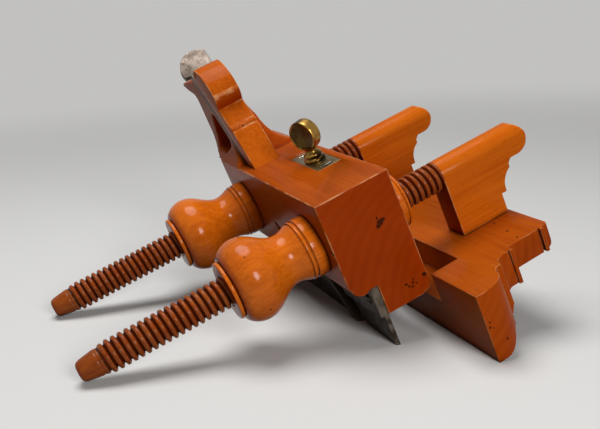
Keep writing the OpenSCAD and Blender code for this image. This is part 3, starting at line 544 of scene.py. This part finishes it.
skate_steel = metal(
    "skate_steel", clean=(0.05, 0.036, 0.025), stained=(0.03, 0.02, 0.013), pitted=(0.016, 0.011, 0.007),
    arris=(0.34, 0.28, 0.22), smoothest=0.36, roughest=0.55,
)
iron_steel = metal(
    "iron_steel", clean=(0.175, 0.142, 0.118), stained=(0.115, 0.09, 0.073), pitted=(0.035, 0.023, 0.015),
    arris=(0.34, 0.30, 0.27), smoothest=0.42, roughest=0.58, shade_below=IRON_SHADE_BELOW,
)
brass = metal(
    "old_brass", clean=(0.085, 0.046, 0.011), stained=(0.05, 0.027, 0.008), pitted=(0.035, 0.019, 0.006),
    arris=(0.43, 0.245, 0.053), smoothest=0.22, roughest=0.38, arris_share=0.95,
)
plate_brass = metal(
    "plate_brass", clean=(0.17, 0.12, 0.046), stained=(0.10, 0.068, 0.026), pitted=(0.04, 0.026, 0.010),
    arris=(0.40, 0.32, 0.15), smoothest=0.32, roughest=0.5,
)
# The screw heads' pale arris colour is a painted highlight on their edges.
screw_brass = metal(
    "screw_brass", clean=(0.05, 0.03, 0.016), stained=(0.03, 0.018, 0.01), pitted=(0.012, 0.008, 0.005),
    arris=(0.62, 0.52, 0.40), smoothest=0.25, roughest=0.4, arris_share=1.0,
)
print("metals:", skate_steel.name, iron_steel.name, brass.name, plate_brass.name, screw_brass.name)

# %% [markdown]
# Working on copies of the CAD nodes
#
# A sharp CAD edge never catches the light, so most flat pieces are eased copies of their
# nodes: the loose triangles are welded, flat faces are joined, and chosen edges get a round
# bevel. The new faces are marked for a paler colour, which stands for wear and a painted
# highlight. The stock comes first. Only its outer arrises are eased, so that its bores and
# mortise stay as they are.

# %% Copy, ease and place
WELD, FLAT = 2e-6, math.radians(0.4)


def welded_copy(name):
    """A bmesh copy of a CAD node with its doubles merged and its flat faces joined."""
    bm = bmesh.new()
    bm.from_mesh(nodes[name].data)
    bmesh.ops.remove_doubles(bm, verts=bm.verts, dist=WELD)
    bmesh.ops.dissolve_limit(bm, angle_limit=FLAT, verts=bm.verts, edges=bm.edges)
    return bm


def ease(bm, width, chosen=None, sharper_than=32, segments=3):
    """Rounds the sharp edges that chosen(edge) accepts, and marks the new faces for the wear and painted highlight
    colour.
    """
    mark = bm.faces.layers.float.get("wear_and_highlight") or bm.faces.layers.float.new("wear_and_highlight")
    limit = math.radians(sharper_than)
    edges = [
        e
        for e in bm.edges
        if len(e.link_faces) == 2 and e.calc_face_angle(0) > limit and (chosen is None or chosen(e))
    ]
    made = bmesh.ops.bevel(
        bm, geom=edges, offset=width, offset_type="OFFSET", segments=segments, profile=0.5,
        affect="EDGES", clamp_overlap=False, material=-1,
    )
    for face in made["faces"]:
        face[mark] = 1.0
    return len(edges)


def place_piece(bm, name, body, material, slot, *replaced, smooth_under=34):
    """Makes the object, rides it on its body and hides the CAD nodes it stands for."""
    bmesh.ops.recalc_face_normals(bm, faces=bm.faces)
    mesh = bpy.data.meshes.new(name)
    bm.to_mesh(mesh)
    bm.free()
    mesh.shade_smooth()
    mesh.set_sharp_from_angle(angle=math.radians(smooth_under))
    mesh.materials.append(material)
    obj = bpy.data.objects.new(name, mesh)
    bpy.context.scene.collection.objects.link(obj)
    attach(obj, body)
    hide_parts(*replaced)
    print(name, len(mesh.polygons), "faces")


print("copy helpers are ready")

# %% Stock
stock_low, stock_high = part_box("stock")
LONG_EDGE, TOUCH = 60 * MM, 1e-5
bm = welded_copy("stock")


def on_outside(edge):
    """An arris of the toe, the heel or a long corner of the stock."""
    a, b = (v.co for v in edge.verts)
    at_end = any(abs(a.x - x) < TOUCH and abs(b.x - x) < TOUCH for x in (stock_low.x, stock_high.x))
    return at_end or abs(a.x - b.x) > LONG_EDGE


print("eased stock edges:", ease(bm, 0.7 * MM, on_outside))
place_piece(bm, "stock_body", "stock", stock_wood, "boxwood", "stock")

# %% [markdown]
# The fence
#
# The fence's moulding runs along its underside and is returned across both ends, so its
# width along X and its lower edge both follow one run of steps across Y. The body is drawn
# as a rectangle that is carried from step to step, changing its reach and its lower edge
# on the way. Each step is its place along Y, half its length and its lower edge, in
# millimetres: a nose, a fillet, a cove, a thin reed, the flat underside and a rounded outer
# edge. A box then cuts the stopped rebate that clears the stock.

# %% Fence steps
fence_low, fence_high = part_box("fence")
FENCE_MIDDLE_X = (fence_low.x + fence_high.x) / 2
FENCE_END = (fence_high.x - fence_low.x) / 2 / MM
FENCE_FACE, FENCE_OUTER = fence_low.y / MM, fence_high.y / MM
FENCE_DEPTH = fence_low.z / MM
NOSE_START, NOSE_WIDTH, NOSE_ROUND = FENCE_FACE + 5, 17.9, 13.5
UNDER_START, UNDER_WIDTH, UNDER_TOP = FENCE_FACE + 6, 15.8, 20.5
FILLET_REACH, FILLET_LOW = 121.4, 4.0
COVE_REACH, COVE_LOW = 121.2, 9.2
COVE_END, COVE_RUN, COVE_DRAW, COVE_RISE = 71.2, 7, 8, 5.4
REED_EDGE = 78.4
OUTER_START, OUTER_LOW, OUTER_RISE = 103.6, 27.1, 6.54
CORNER_REACH, CORNER = 104.4, 2.4
ROUND_STEPS, COVE_STEPS = 14, 8


def quarter(value):
    """The height of a unit quarter circle over a place from 0 to 1."""
    return math.sqrt(max(0.0, 1 - value * value))


def nose_reach(y):
    """Half the fence's length in mm along its rounded nose."""
    return FENCE_END - NOSE_ROUND + NOSE_ROUND * quarter(max(y - NOSE_START, 0) / NOSE_WIDTH)


def nose_low(y):
    """The lower edge of the nose in mm, up to the fillet."""
    across = min(max(y - UNDER_START, 0) / UNDER_WIDTH, 1)
    return min(UNDER_TOP - (UNDER_TOP - FENCE_DEPTH) * quarter(across), FILLET_LOW)


fence_steps = [(FENCE_FACE, FENCE_END, FENCE_DEPTH)]
for k in range(ROUND_STEPS + 1):
    y = NOSE_START + NOSE_WIDTH * math.sin(math.pi / 2 * k / ROUND_STEPS)
    fence_steps.append((y, nose_reach(y), nose_low(y)))
fence_steps += [
    (60.6, FILLET_REACH, FILLET_LOW), (61.4, FILLET_REACH, FILLET_LOW), (63.8, COVE_REACH, 9.0),
    (COVE_END - COVE_RUN, COVE_REACH, COVE_LOW),
]
for k in range(1, COVE_STEPS + 1):
    across, rise = math.cos(math.pi / 2 * k / COVE_STEPS), math.sin(math.pi / 2 * k / COVE_STEPS)
    fence_steps.append((COVE_END - COVE_RUN * across, COVE_REACH - COVE_DRAW * rise, COVE_LOW + COVE_RISE * rise))
fence_steps += [
    (75.0, 113.2, 14.6), (75.0, 112.0, 15.8), (76.0, 112.0, 15.8), (76.0, 113.2, 13.4), (REED_EDGE, 113.2, 13.4),
    (REED_EDGE, 108.6, 20.56), (100.2, 108.2, 20.56), (100.2, 107.0, 21.8), (101.4, 107.0, 21.8),
    (101.4, 109.6, 20.56), (OUTER_START, 109.6, 20.56), (OUTER_START, 106.8, 20.56),
]
outer_run = FENCE_OUTER - OUTER_START
for k in range(1, COVE_STEPS + 1):
    y = OUTER_START + outer_run * math.sin(math.pi / 2 * k / COVE_STEPS)
    low = OUTER_LOW - OUTER_RISE * quarter((y - OUTER_START) / outer_run)
    fence_steps.append((y, CORNER_REACH + CORNER * quarter(max(y - FENCE_OUTER + CORNER, 0) / CORNER), low))
print("fence steps:", len(fence_steps))

# %% Fence
TINY = 1e-6
REBATE_ROOM, PAST = 0.3 * MM, 1 * MM
REBATE_FLOOR, REBATE_BACK = 17.0 * MM, 54.4 * MM
bm = bmesh.new()
y, reach, low = fence_steps[0]
corners = [
    bm.verts.new((FENCE_MIDDLE_X + side * reach * MM, y * MM, z))
    for side, z in ((-1, low * MM), (1, low * MM), (1, fence_high.z), (-1, fence_high.z))
]
loop = [bm.edges.new(pair) for pair in zip(corners, corners[1:] + corners[:1])]
for y, reach, low in fence_steps[1:]:
    made = bmesh.ops.extrude_edge_only(bm, edges=loop)["geom"]
    for vert in (v for v in made if isinstance(v, bmesh.types.BMVert)):
        vert.co.x = FENCE_MIDDLE_X + math.copysign(reach * MM, vert.co.x - FENCE_MIDDLE_X)
        vert.co.y = y * MM
        if vert.co.z < fence_high.z - TINY:
            vert.co.z = low * MM
    loop = [e for e in made if isinstance(e, bmesh.types.BMEdge) and e.is_boundary]
bmesh.ops.holes_fill(bm, edges=[e for e in bm.edges if e.is_boundary])
bmesh.ops.remove_doubles(bm, verts=bm.verts, dist=TINY)
bmesh.ops.recalc_face_normals(bm, faces=bm.faces)

rebate_low = Vector((stock_low.x - REBATE_ROOM, fence_low.y - PAST, REBATE_FLOOR))
rebate_high = Vector((stock_high.x + REBATE_ROOM, REBATE_BACK, fence_high.z + PAST))
rebate_size = Matrix.Diagonal((*(rebate_high - rebate_low), 1))
box_bm = bmesh.new()
bmesh.ops.create_cube(box_bm, size=1, matrix=Matrix.Translation((rebate_low + rebate_high) / 2) @ rebate_size)
blank, cutter = (bpy.data.objects.new(name, bpy.data.meshes.new(name)) for name in ("fence_blank", "rebate_box"))
for obj, source in ((blank, bm), (cutter, box_bm)):
    source.to_mesh(obj.data)
    source.free()
    bpy.context.scene.collection.objects.link(obj)
cut = blank.modifiers.new("rebate", "BOOLEAN")
cut.operation = "DIFFERENCE"
cut.solver = "EXACT"
cut.object = cutter
cut_mesh = bpy.data.meshes.new_from_object(blank.evaluated_get(bpy.context.evaluated_depsgraph_get()))
bpy.data.objects.remove(blank)
bpy.data.objects.remove(cutter)
bm = bmesh.new()
bm.from_mesh(cut_mesh)
bmesh.ops.dissolve_limit(bm, angle_limit=FLAT, verts=bm.verts, edges=bm.edges)
print("eased fence edges:", ease(bm, 0.3 * MM))
place_piece(bm, "fence_moulded", "fence", fence_wood, "boxwood", "fence")

# %% [markdown]
# Wedge, iron, skate and stop plate
#
# These are eased copies too. The lip under the wedge's head is marked for the paler arris
# colour, as hammer wear and a painted highlight, and so, more faintly, are the skate's narrow
# edges, as wear and painted light on its lit front end. The plate's screws have dark heads
# with a painted highlight on their edges.

# %% Wedge
LIP_LOW, LIP_HIGH = 0.1558, 0.1597
bm = welded_copy("wedge")
print("eased wedge edges:", ease(bm, 0.6 * MM))
wear_and_highlight = bm.faces.layers.float["wear_and_highlight"]
# The lip's faces take the pale arris colour: hammer wear and a painted highlight.
for face in bm.faces:
    if face.normal.x > 0.5 and LIP_LOW < face.calc_center_median().z < LIP_HIGH:
        face[wear_and_highlight] = 1.0
place_piece(bm, "wedge_shaped", "wedge", wedge_wood, "boxwood", "wedge")

# %% Iron and skate
SKATE_EDGE_WEAR_AND_LIGHT = 0.6
bm = welded_copy("iron")
print("eased iron edges:", ease(bm, 0.35 * MM))
place_piece(bm, "iron_bar", "iron", iron_steel, "iron_steel", "iron")
for end in ("front", "rear"):
    bm = welded_copy(end + "_skate")
    print("eased", end, "skate edges:", ease(bm, 0.25 * MM))
    wear_and_highlight = bm.faces.layers.float["wear_and_highlight"]
    # The skate's narrow faces are painted paler: wear, and painted light on its lit front end.
    for face in bm.faces:
        if abs(face.normal.y) < 0.5:
            face[wear_and_highlight] = SKATE_EDGE_WEAR_AND_LIGHT
    place_piece(bm, end + "_skate_bar", "stock", skate_steel, "skate_steel", end + "_skate")

# %% Stop plate and its screws
bm = welded_copy("stop_plate")
print("eased plate edges:", ease(bm, 0.2 * MM))
place_piece(bm, "stop_plate_flat", "stock", plate_brass, "brass", "stop_plate")
# Their eased edges take the pale colour as a painted highlight.
bm = welded_copy("stop_plate_screws")
print("eased screw edges:", ease(bm, 0.3 * MM))
place_piece(bm, "stop_plate_screw_heads", "stock", screw_brass, "brass", "stop_plate_screws")

# %% [markdown]
# The tote
#
# The handle is carved and rounded all over. A voxel remesh of its node gives even faces,
# which a few rounds of smoothing turn into soft arrises. Points at the foot stay put, so
# that the flared foot still meets the stock.

# %% Tote
TOTE_VOXEL, FOOT_HELD = 0.9 * MM, 1.2 * MM
SMOOTH_ROUNDS = 8
tote_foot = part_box("stock")[1].z
bm = welded_copy("tote")
bmesh.ops.triangulate(bm, faces=bm.faces)
rough_mesh = bpy.data.meshes.new("tote_rough")
bm.to_mesh(rough_mesh)
bm.free()
rough_tote = bpy.data.objects.new("tote_rough", rough_mesh)
bpy.context.scene.collection.objects.link(rough_tote)
remesh = rough_tote.modifiers.new("even", "REMESH")
remesh.mode = "VOXEL"
remesh.voxel_size = TOTE_VOXEL
even = bpy.data.meshes.new_from_object(rough_tote.evaluated_get(bpy.context.evaluated_depsgraph_get()))
bpy.data.objects.remove(rough_tote)
bm = bmesh.new()
bm.from_mesh(even)
free = [v for v in bm.verts if v.co.z > tote_foot + FOOT_HELD]
for _ in range(SMOOTH_ROUNDS):
    bmesh.ops.smooth_vert(bm, verts=free, factor=0.5, use_axis_x=True, use_axis_y=True, use_axis_z=True)
place_piece(bm, "tote_carved", "stock", stock_wood, "boxwood", "tote", smooth_under=60)

# %% [markdown]
# Turned pieces
#
# Nuts, discs and inner nuts are turned on a lathe, so each is a half profile spun about
# its arm. The profile is a chain of (radius, distance along the arm) points, closed at the
# bore. A piece without a bore has an open profile that starts and ends on its axis.

# %% Spin a profile
TURN_STEPS, SMALL_STEPS = 96, 64
ALONG_X, ALONG_Y, ALONG_Z = Vector((1, 0, 0)), Vector((0, 1, 0)), Vector((0, 0, 1))
FRONT_ARM_X = 0.0
REAR_ARM_X = -119.2 * MM
ARM_Z = 77 * MM


def smooth_run(*knots, steps=6):
    """Points of a smooth curve through the knots, from one to the next."""
    knots = [Vector(k) for k in knots]
    run = []
    for i in range(len(knots) - 1):
        before, here, there, after = (
            knots[max(i - 1, 0)], knots[i], knots[i + 1], knots[min(i + 2, len(knots) - 1)]
        )
        for s in range(steps):
            t = s / steps
            run.append(
                0.5
                * (
                    2 * here
                    + (there - before) * t
                    + (2 * before - 5 * here + 4 * there - after) * t**2
                    + (3 * here - before - 3 * there + after) * t**3
                )
            )
    return [tuple(p) for p in run] + [tuple(knots[-1])]


def spun(profile, arm_x, start_y, way):
    """Spins a closed profile of (radius, distance) in mm about an arm's axis."""
    bm = bmesh.new()
    verts = [bm.verts.new((arm_x + r * MM, start_y + way * d * MM, ARM_Z)) for r, d in profile]
    edges = [bm.edges.new((a, b)) for a, b in zip(verts, verts[1:] + verts[:1])]
    bmesh.ops.spin(
        bm, geom=verts + edges, cent=(arm_x, 0, ARM_Z), axis=ALONG_Y, angle=2 * math.pi, steps=TURN_STEPS,
        use_merge=True,
    )
    bmesh.ops.remove_doubles(bm, verts=bm.verts, dist=TINY)
    return bm


def spun_open(profile, origin, axis, out):
    """Spins an open profile of (radius, distance) in mm about an axis, from pole to pole."""
    bm = bmesh.new()
    verts = [bm.verts.new(origin + out * r * MM + axis * d * MM) for r, d in profile]
    edges = [bm.edges.new(pair) for pair in zip(verts, verts[1:])]
    bmesh.ops.spin(
        bm, geom=verts + edges, cent=origin, axis=axis, angle=2 * math.pi, steps=SMALL_STEPS, use_merge=True
    )
    bmesh.ops.remove_doubles(bm, verts=bm.verts, dist=TINY)
    return bm


def joined(*pieces):
    """One bmesh out of several."""
    whole = bmesh.new()
    for piece in pieces:
        bmesh.ops.recalc_face_normals(piece, faces=piece.faces)
        mesh = bpy.data.meshes.new("part")
        piece.to_mesh(mesh)
        piece.free()
        whole.from_mesh(mesh)
        bpy.data.meshes.remove(mesh)
    return whole


print("profiles spin in", TURN_STEPS, "steps, or", SMALL_STEPS, "where they are small")

# %% Nuts, discs and inner nuts
BORE = 9.825
nut_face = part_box("front_nut")[1].y
nut_profile = (
    [(BORE, 0.0), (18.2, 0.0), (18.7, 0.2), (18.9, 0.7), (18.9, 6.6), (18.6, 7.0)]
    + [(17.9, 7.2), (17.7, 7.6), (17.9, 8.0), (18.5, 8.2), (18.75, 8.6), (18.75, 9.4), (18.5, 9.8)]
    + [(17.6, 10.0), (17.4, 10.4), (17.6, 10.8), (18.0, 11.1)]
    + smooth_run(
        (17.9, 11.6), (16.8, 14.0), (15.8, 18.0), (16.0, 22.0), (17.6, 26.0), (20.1, 30.0), (22.8, 34.0),
        (24.8, 38.0), (25.75, 42.0), (25.75, 46.0), (24.6, 50.0), (22.9, 53.0), (21.0, 55.0),
    )
    + [(20.2, 55.6), (19.4, 56.0), (BORE, 56.0)]
)
disc_profile = [
    (BORE, 0), (17.2, 0), (17.8, 0.25), (18.1, 0.8), (18.1, 2.0), (17.8, 2.55), (17.2, 2.8), (BORE, 2.8),
]
inner_profile = (
    [(BORE, 0), (17.8, 0), (18.3, 0.3), (18.4, 0.8), (18.4, 6.6), (18.1, 7.0), (17.5, 7.2), (17.4, 7.6), (17.6, 8.0)]
    + [(18.1, 8.3), (18.1, 9.0), (17.6, 9.8), (16.0, 10.6), (BORE, 10.6)]
)
inner_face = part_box("front_inner_nut")[0].y
disc_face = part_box("front_lock_disc")[1].y
for end, arm_x in (("front", FRONT_ARM_X), ("rear", REAR_ARM_X)):
    place_piece(
        spun(nut_profile, arm_x, nut_face, -1), end + "_nut_turned", end + "_nut", nut_wood, "boxwood",
        end + "_nut",
    )
    place_piece(
        spun(disc_profile, arm_x, disc_face, -1), end + "_disc_turned", end + "_lock_disc", nut_wood, "screw_wood",
        end + "_lock_disc",
    )
    place_piece(
        spun(inner_profile, arm_x, inner_face, 1), end + "_inner_turned", end + "_inner_nut", nut_wood, "boxwood",
        end + "_inner_nut",
    )

# %% [markdown]
# Screw arms
#
# A wooden screw thread is a helix. One pitch of its profile is spun round the arm once
# while it climbs by one pitch, and that turn is copied along the arm, so that the end of
# each turn meets the start of the next. Planes then cut the thread to length, and it dies
# out towards the plain tip. Its roots get painted shade and its crests' edges a painted
# highlight. The bracket is the far end of a copy of the arm's CAD node, cut off and eased.

# %% Threads
PITCH = 25.4 / 6 * MM
CREST, ROOT = 9.52 * MM, 7.3 * MM
THREAD_STEPS = 40
TIP_BASE = 7.8 * MM
bracket_y = 73 * MM
tip_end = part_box("front_arm")[0].y
TIP_LENGTH = 12.5 * MM
thread_start = tip_end + TIP_LENGTH
THREAD_TURNS = math.ceil((bracket_y - thread_start) / PITCH) + 3
SPARE, RUN_IN = 1.5 * PITCH, 1.4 * PITCH
INTO_BRACKET = 0.5 * MM
# Painted shade on the roots and lower flanks, and a painted highlight on the crests' edges.
ROOT_SHADE, ROOT_SHADE_FALL = 1.3, 1.6
CREST_EDGE = 0.84, 0.99
one_pitch = [
    (0.0, 0.0), (0.05, 0.06), (0.11, 0.28), (0.18, 0.54), (0.25, 0.82), (0.28, 0.93), (0.32, 1.0), (0.50, 1.02),
    (0.68, 1.0), (0.72, 0.93), (0.75, 0.82), (0.82, 0.54), (0.89, 0.28), (0.95, 0.06), (1.0, 0.0),
]


def cut_away(bm, place, side):
    """Takes off all that lies past a place along Y, on one side of it."""
    everything = bm.verts[:] + bm.edges[:] + bm.faces[:]
    bmesh.ops.bisect_plane(bm, geom=everything, plane_co=(0, place, 0), plane_no=(0, side, 0), clear_outer=True)


def thread(arm_x):
    """The threaded length of an arm, cut at both ends and closed."""
    bm = bmesh.new()
    low = thread_start - SPARE
    verts = [
        bm.verts.new((arm_x, low + run * PITCH, ARM_Z + ROOT + (CREST - ROOT) * rise)) for run, rise in one_pitch
    ]
    edges = [bm.edges.new(pair) for pair in zip(verts, verts[1:])]
    bmesh.ops.spin(
        bm, geom=verts + edges, cent=(arm_x, 0, ARM_Z), axis=ALONG_Y, dvec=ALONG_Y * (PITCH / THREAD_STEPS),
        angle=2 * math.pi, steps=THREAD_STEPS,
    )
    one_turn = bm.verts[:] + bm.edges[:] + bm.faces[:]
    for turn in range(1, THREAD_TURNS):
        copy = bmesh.ops.duplicate(bm, geom=one_turn)["geom"]
        moved = [v for v in copy if isinstance(v, bmesh.types.BMVert)]
        bmesh.ops.translate(bm, vec=(0, turn * PITCH, 0), verts=moved)
    bmesh.ops.remove_doubles(bm, verts=bm.verts, dist=WELD)
    cut_away(bm, thread_start, -1)
    cut_away(bm, bracket_y + INTO_BRACKET, 1)
    root_shade, wear_and_highlight = bm.faces.layers.float.new("root_shade"), bm.faces.layers.float.new("wear_and_highlight")
    # Faces low in the thread get painted shade, and faces at the crests' edges the highlight colour.
    for face in bm.faces:
        middle = face.calc_center_median()
        rise = (math.hypot(middle.x - arm_x, middle.z - ARM_Z) - ROOT) / (CREST - ROOT)
        face[root_shade] = min(max(ROOT_SHADE - ROOT_SHADE_FALL * rise, 0.0), 1.0)
        face[wear_and_highlight] = 1.0 if CREST_EDGE[0] < rise < CREST_EDGE[1] else 0.0
    for vert in bm.verts:
        start = (vert.co.y - thread_start) / RUN_IN
        if start < 1:
            out = Vector((vert.co.x - arm_x, 0, vert.co.z - ARM_Z))
            longer = TIP_BASE / out.length
            out *= longer + (1 - longer) * start
            vert.co = Vector((arm_x + out.x, vert.co.y, ARM_Z + out.z))
    bmesh.ops.holes_fill(bm, edges=[e for e in bm.edges if e.is_boundary])
    return bm


print("thread turns:", THREAD_TURNS)

# %% Arms
tip_profile = [
    (0, 0), (3.4, 0), (4.6, 0.3), (5.5, 0.9), (6.1, 1.8), (6.6, 3.2), (7.1, 6.0), (7.7, 10.0), (8.0, 11.6),
    (7.9, 12.4), (7.7, 12.9), (0, 12.9),
]
for end, arm_x in (("front", FRONT_ARM_X), ("rear", REAR_ARM_X)):
    tip = spun_open(tip_profile, Vector((arm_x, tip_end, ARM_Z)), ALONG_Y, ALONG_X)
    bm = joined(thread(arm_x), tip)
    place_piece(bm, end + "_screw", "fence", screw_wood, "screw_wood", end + "_arm", smooth_under=50)
    bm = welded_copy(end + "_arm")
    cut_away(bm, bracket_y, -1)
    bmesh.ops.holes_fill(bm, edges=[e for e in bm.edges if e.is_boundary])
    bmesh.ops.remove_doubles(bm, verts=bm.verts, dist=WELD)
    print("eased bracket edges:", ease(bm, 0.6 * MM))
    place_piece(bm, end + "_bracket", "fence", bracket_wood, "boxwood", end + "_arm")

# %% [markdown]
# The thumbscrew
#
# The depth stop is worked by a brass thumbscrew: a stem turned about the upright spindle,
# with a thick round disc set on edge in its top. Both are profiles that are spun, one
# about Z, the other about the disc's level axis. The disc's faces are sunk inside a raised
# rim, which is what catches the light.

# %% Thumbscrew
KNOB_AXIS = Vector((-46.3, 19.3, 0)) * MM
KNOB_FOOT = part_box("stop_knob")[0].z
DISC_UP = 17.5 * MM
DISC_FACING = math.radians(-63)
STEM_RUBBED, RIM_RUBBED = 1.0 * MM, 8.8 * MM
stem_profile = [
    (0, 0), (6.7, 0), (7.0, 0.3), (7.0, 1.3), (6.7, 1.7), (5.6, 2.1), (5.2, 2.5), (5.35, 2.9), (5.9, 3.2),
    (6.15, 3.8), (6.0, 4.4), (5.3, 4.9), (4.6, 5.5), (4.2, 6.4), (4.1, 7.4), (4.4, 8.4), (5.1, 9.3), (5.4, 10.0),
    (0, 10.4),
]
half_rim = [(0, 3.35), (8.7, 3.35), (9.0, 3.5), (9.3, 3.72), (9.6, 3.72), (9.85, 3.45), (10, 3.0), (10, 1.2)]
disc_rim = half_rim + [(r, -d) for r, d in reversed(half_rim)]
knob_foot = KNOB_AXIS + Vector((0, 0, KNOB_FOOT))
disc_middle = knob_foot + Vector((0, 0, DISC_UP))
disc_way = Vector((math.cos(DISC_FACING), math.sin(DISC_FACING), 0))
stem = spun_open(stem_profile, knob_foot, ALONG_Z, ALONG_X)
disc = spun_open(disc_rim, disc_middle, disc_way, ALONG_Z)
for piece, origin, axis, rubbed in (
    (stem, knob_foot, ALONG_Z, STEM_RUBBED),
    (disc, disc_middle, disc_way, RIM_RUBBED),
):
    wear_and_highlight = piece.faces.layers.float.new("wear_and_highlight")
    for face in piece.faces:
        out = face.calc_center_median() - origin
        face[wear_and_highlight] = 1.0 if (out - out.dot(axis) * axis).length > rubbed else 0.0
place_piece(joined(stem, disc), "stop_knob_turned", "stop_knob", brass, "brass", "stop_knob")

# %% [markdown]
# The fence's screws
#
# Four screws go up through the fence into the brackets. The reed of this fence would cover
# part of two heads, so on the copy the two inner screws are shifted until their heads clear
# its edge.

# %% Fence screws
HEAD_ROOM = 0.8
bm = welded_copy("fence_screws")
inner_low = min(v.co.y for v in bm.verts)
inner_shift = max(0.0, (REED_EDGE + HEAD_ROOM) * MM - inner_low)
screw_split = (inner_low + max(v.co.y for v in bm.verts)) / 2
for vert in bm.verts:
    if vert.co.y < screw_split:
        vert.co.y += inner_shift
print("eased fence screw edges:", ease(bm, 0.25 * MM), "inner screws moved by", round(inner_shift / MM, 2), "mm")
place_piece(bm, "fence_screw_heads", "fence", skate_steel, "skate_steel", "fence_screws")

# %% [markdown]
# Pieces that keep their CAD shape
#
# The skate's screws, the spindle, its collar and the depth stop show little, so they keep
# their own solids and only get their finishes.

# %% Finishes on the kept nodes
kept = {"skate_screws": skate_steel, "stop_screw": brass, "stop_collar": brass, "depth_stop": brass}
for name, finish in kept.items():
    mesh = nodes[name].data
    mesh.materials.clear()
    mesh.materials.append(finish)
    print(name, "gets", finish.name)
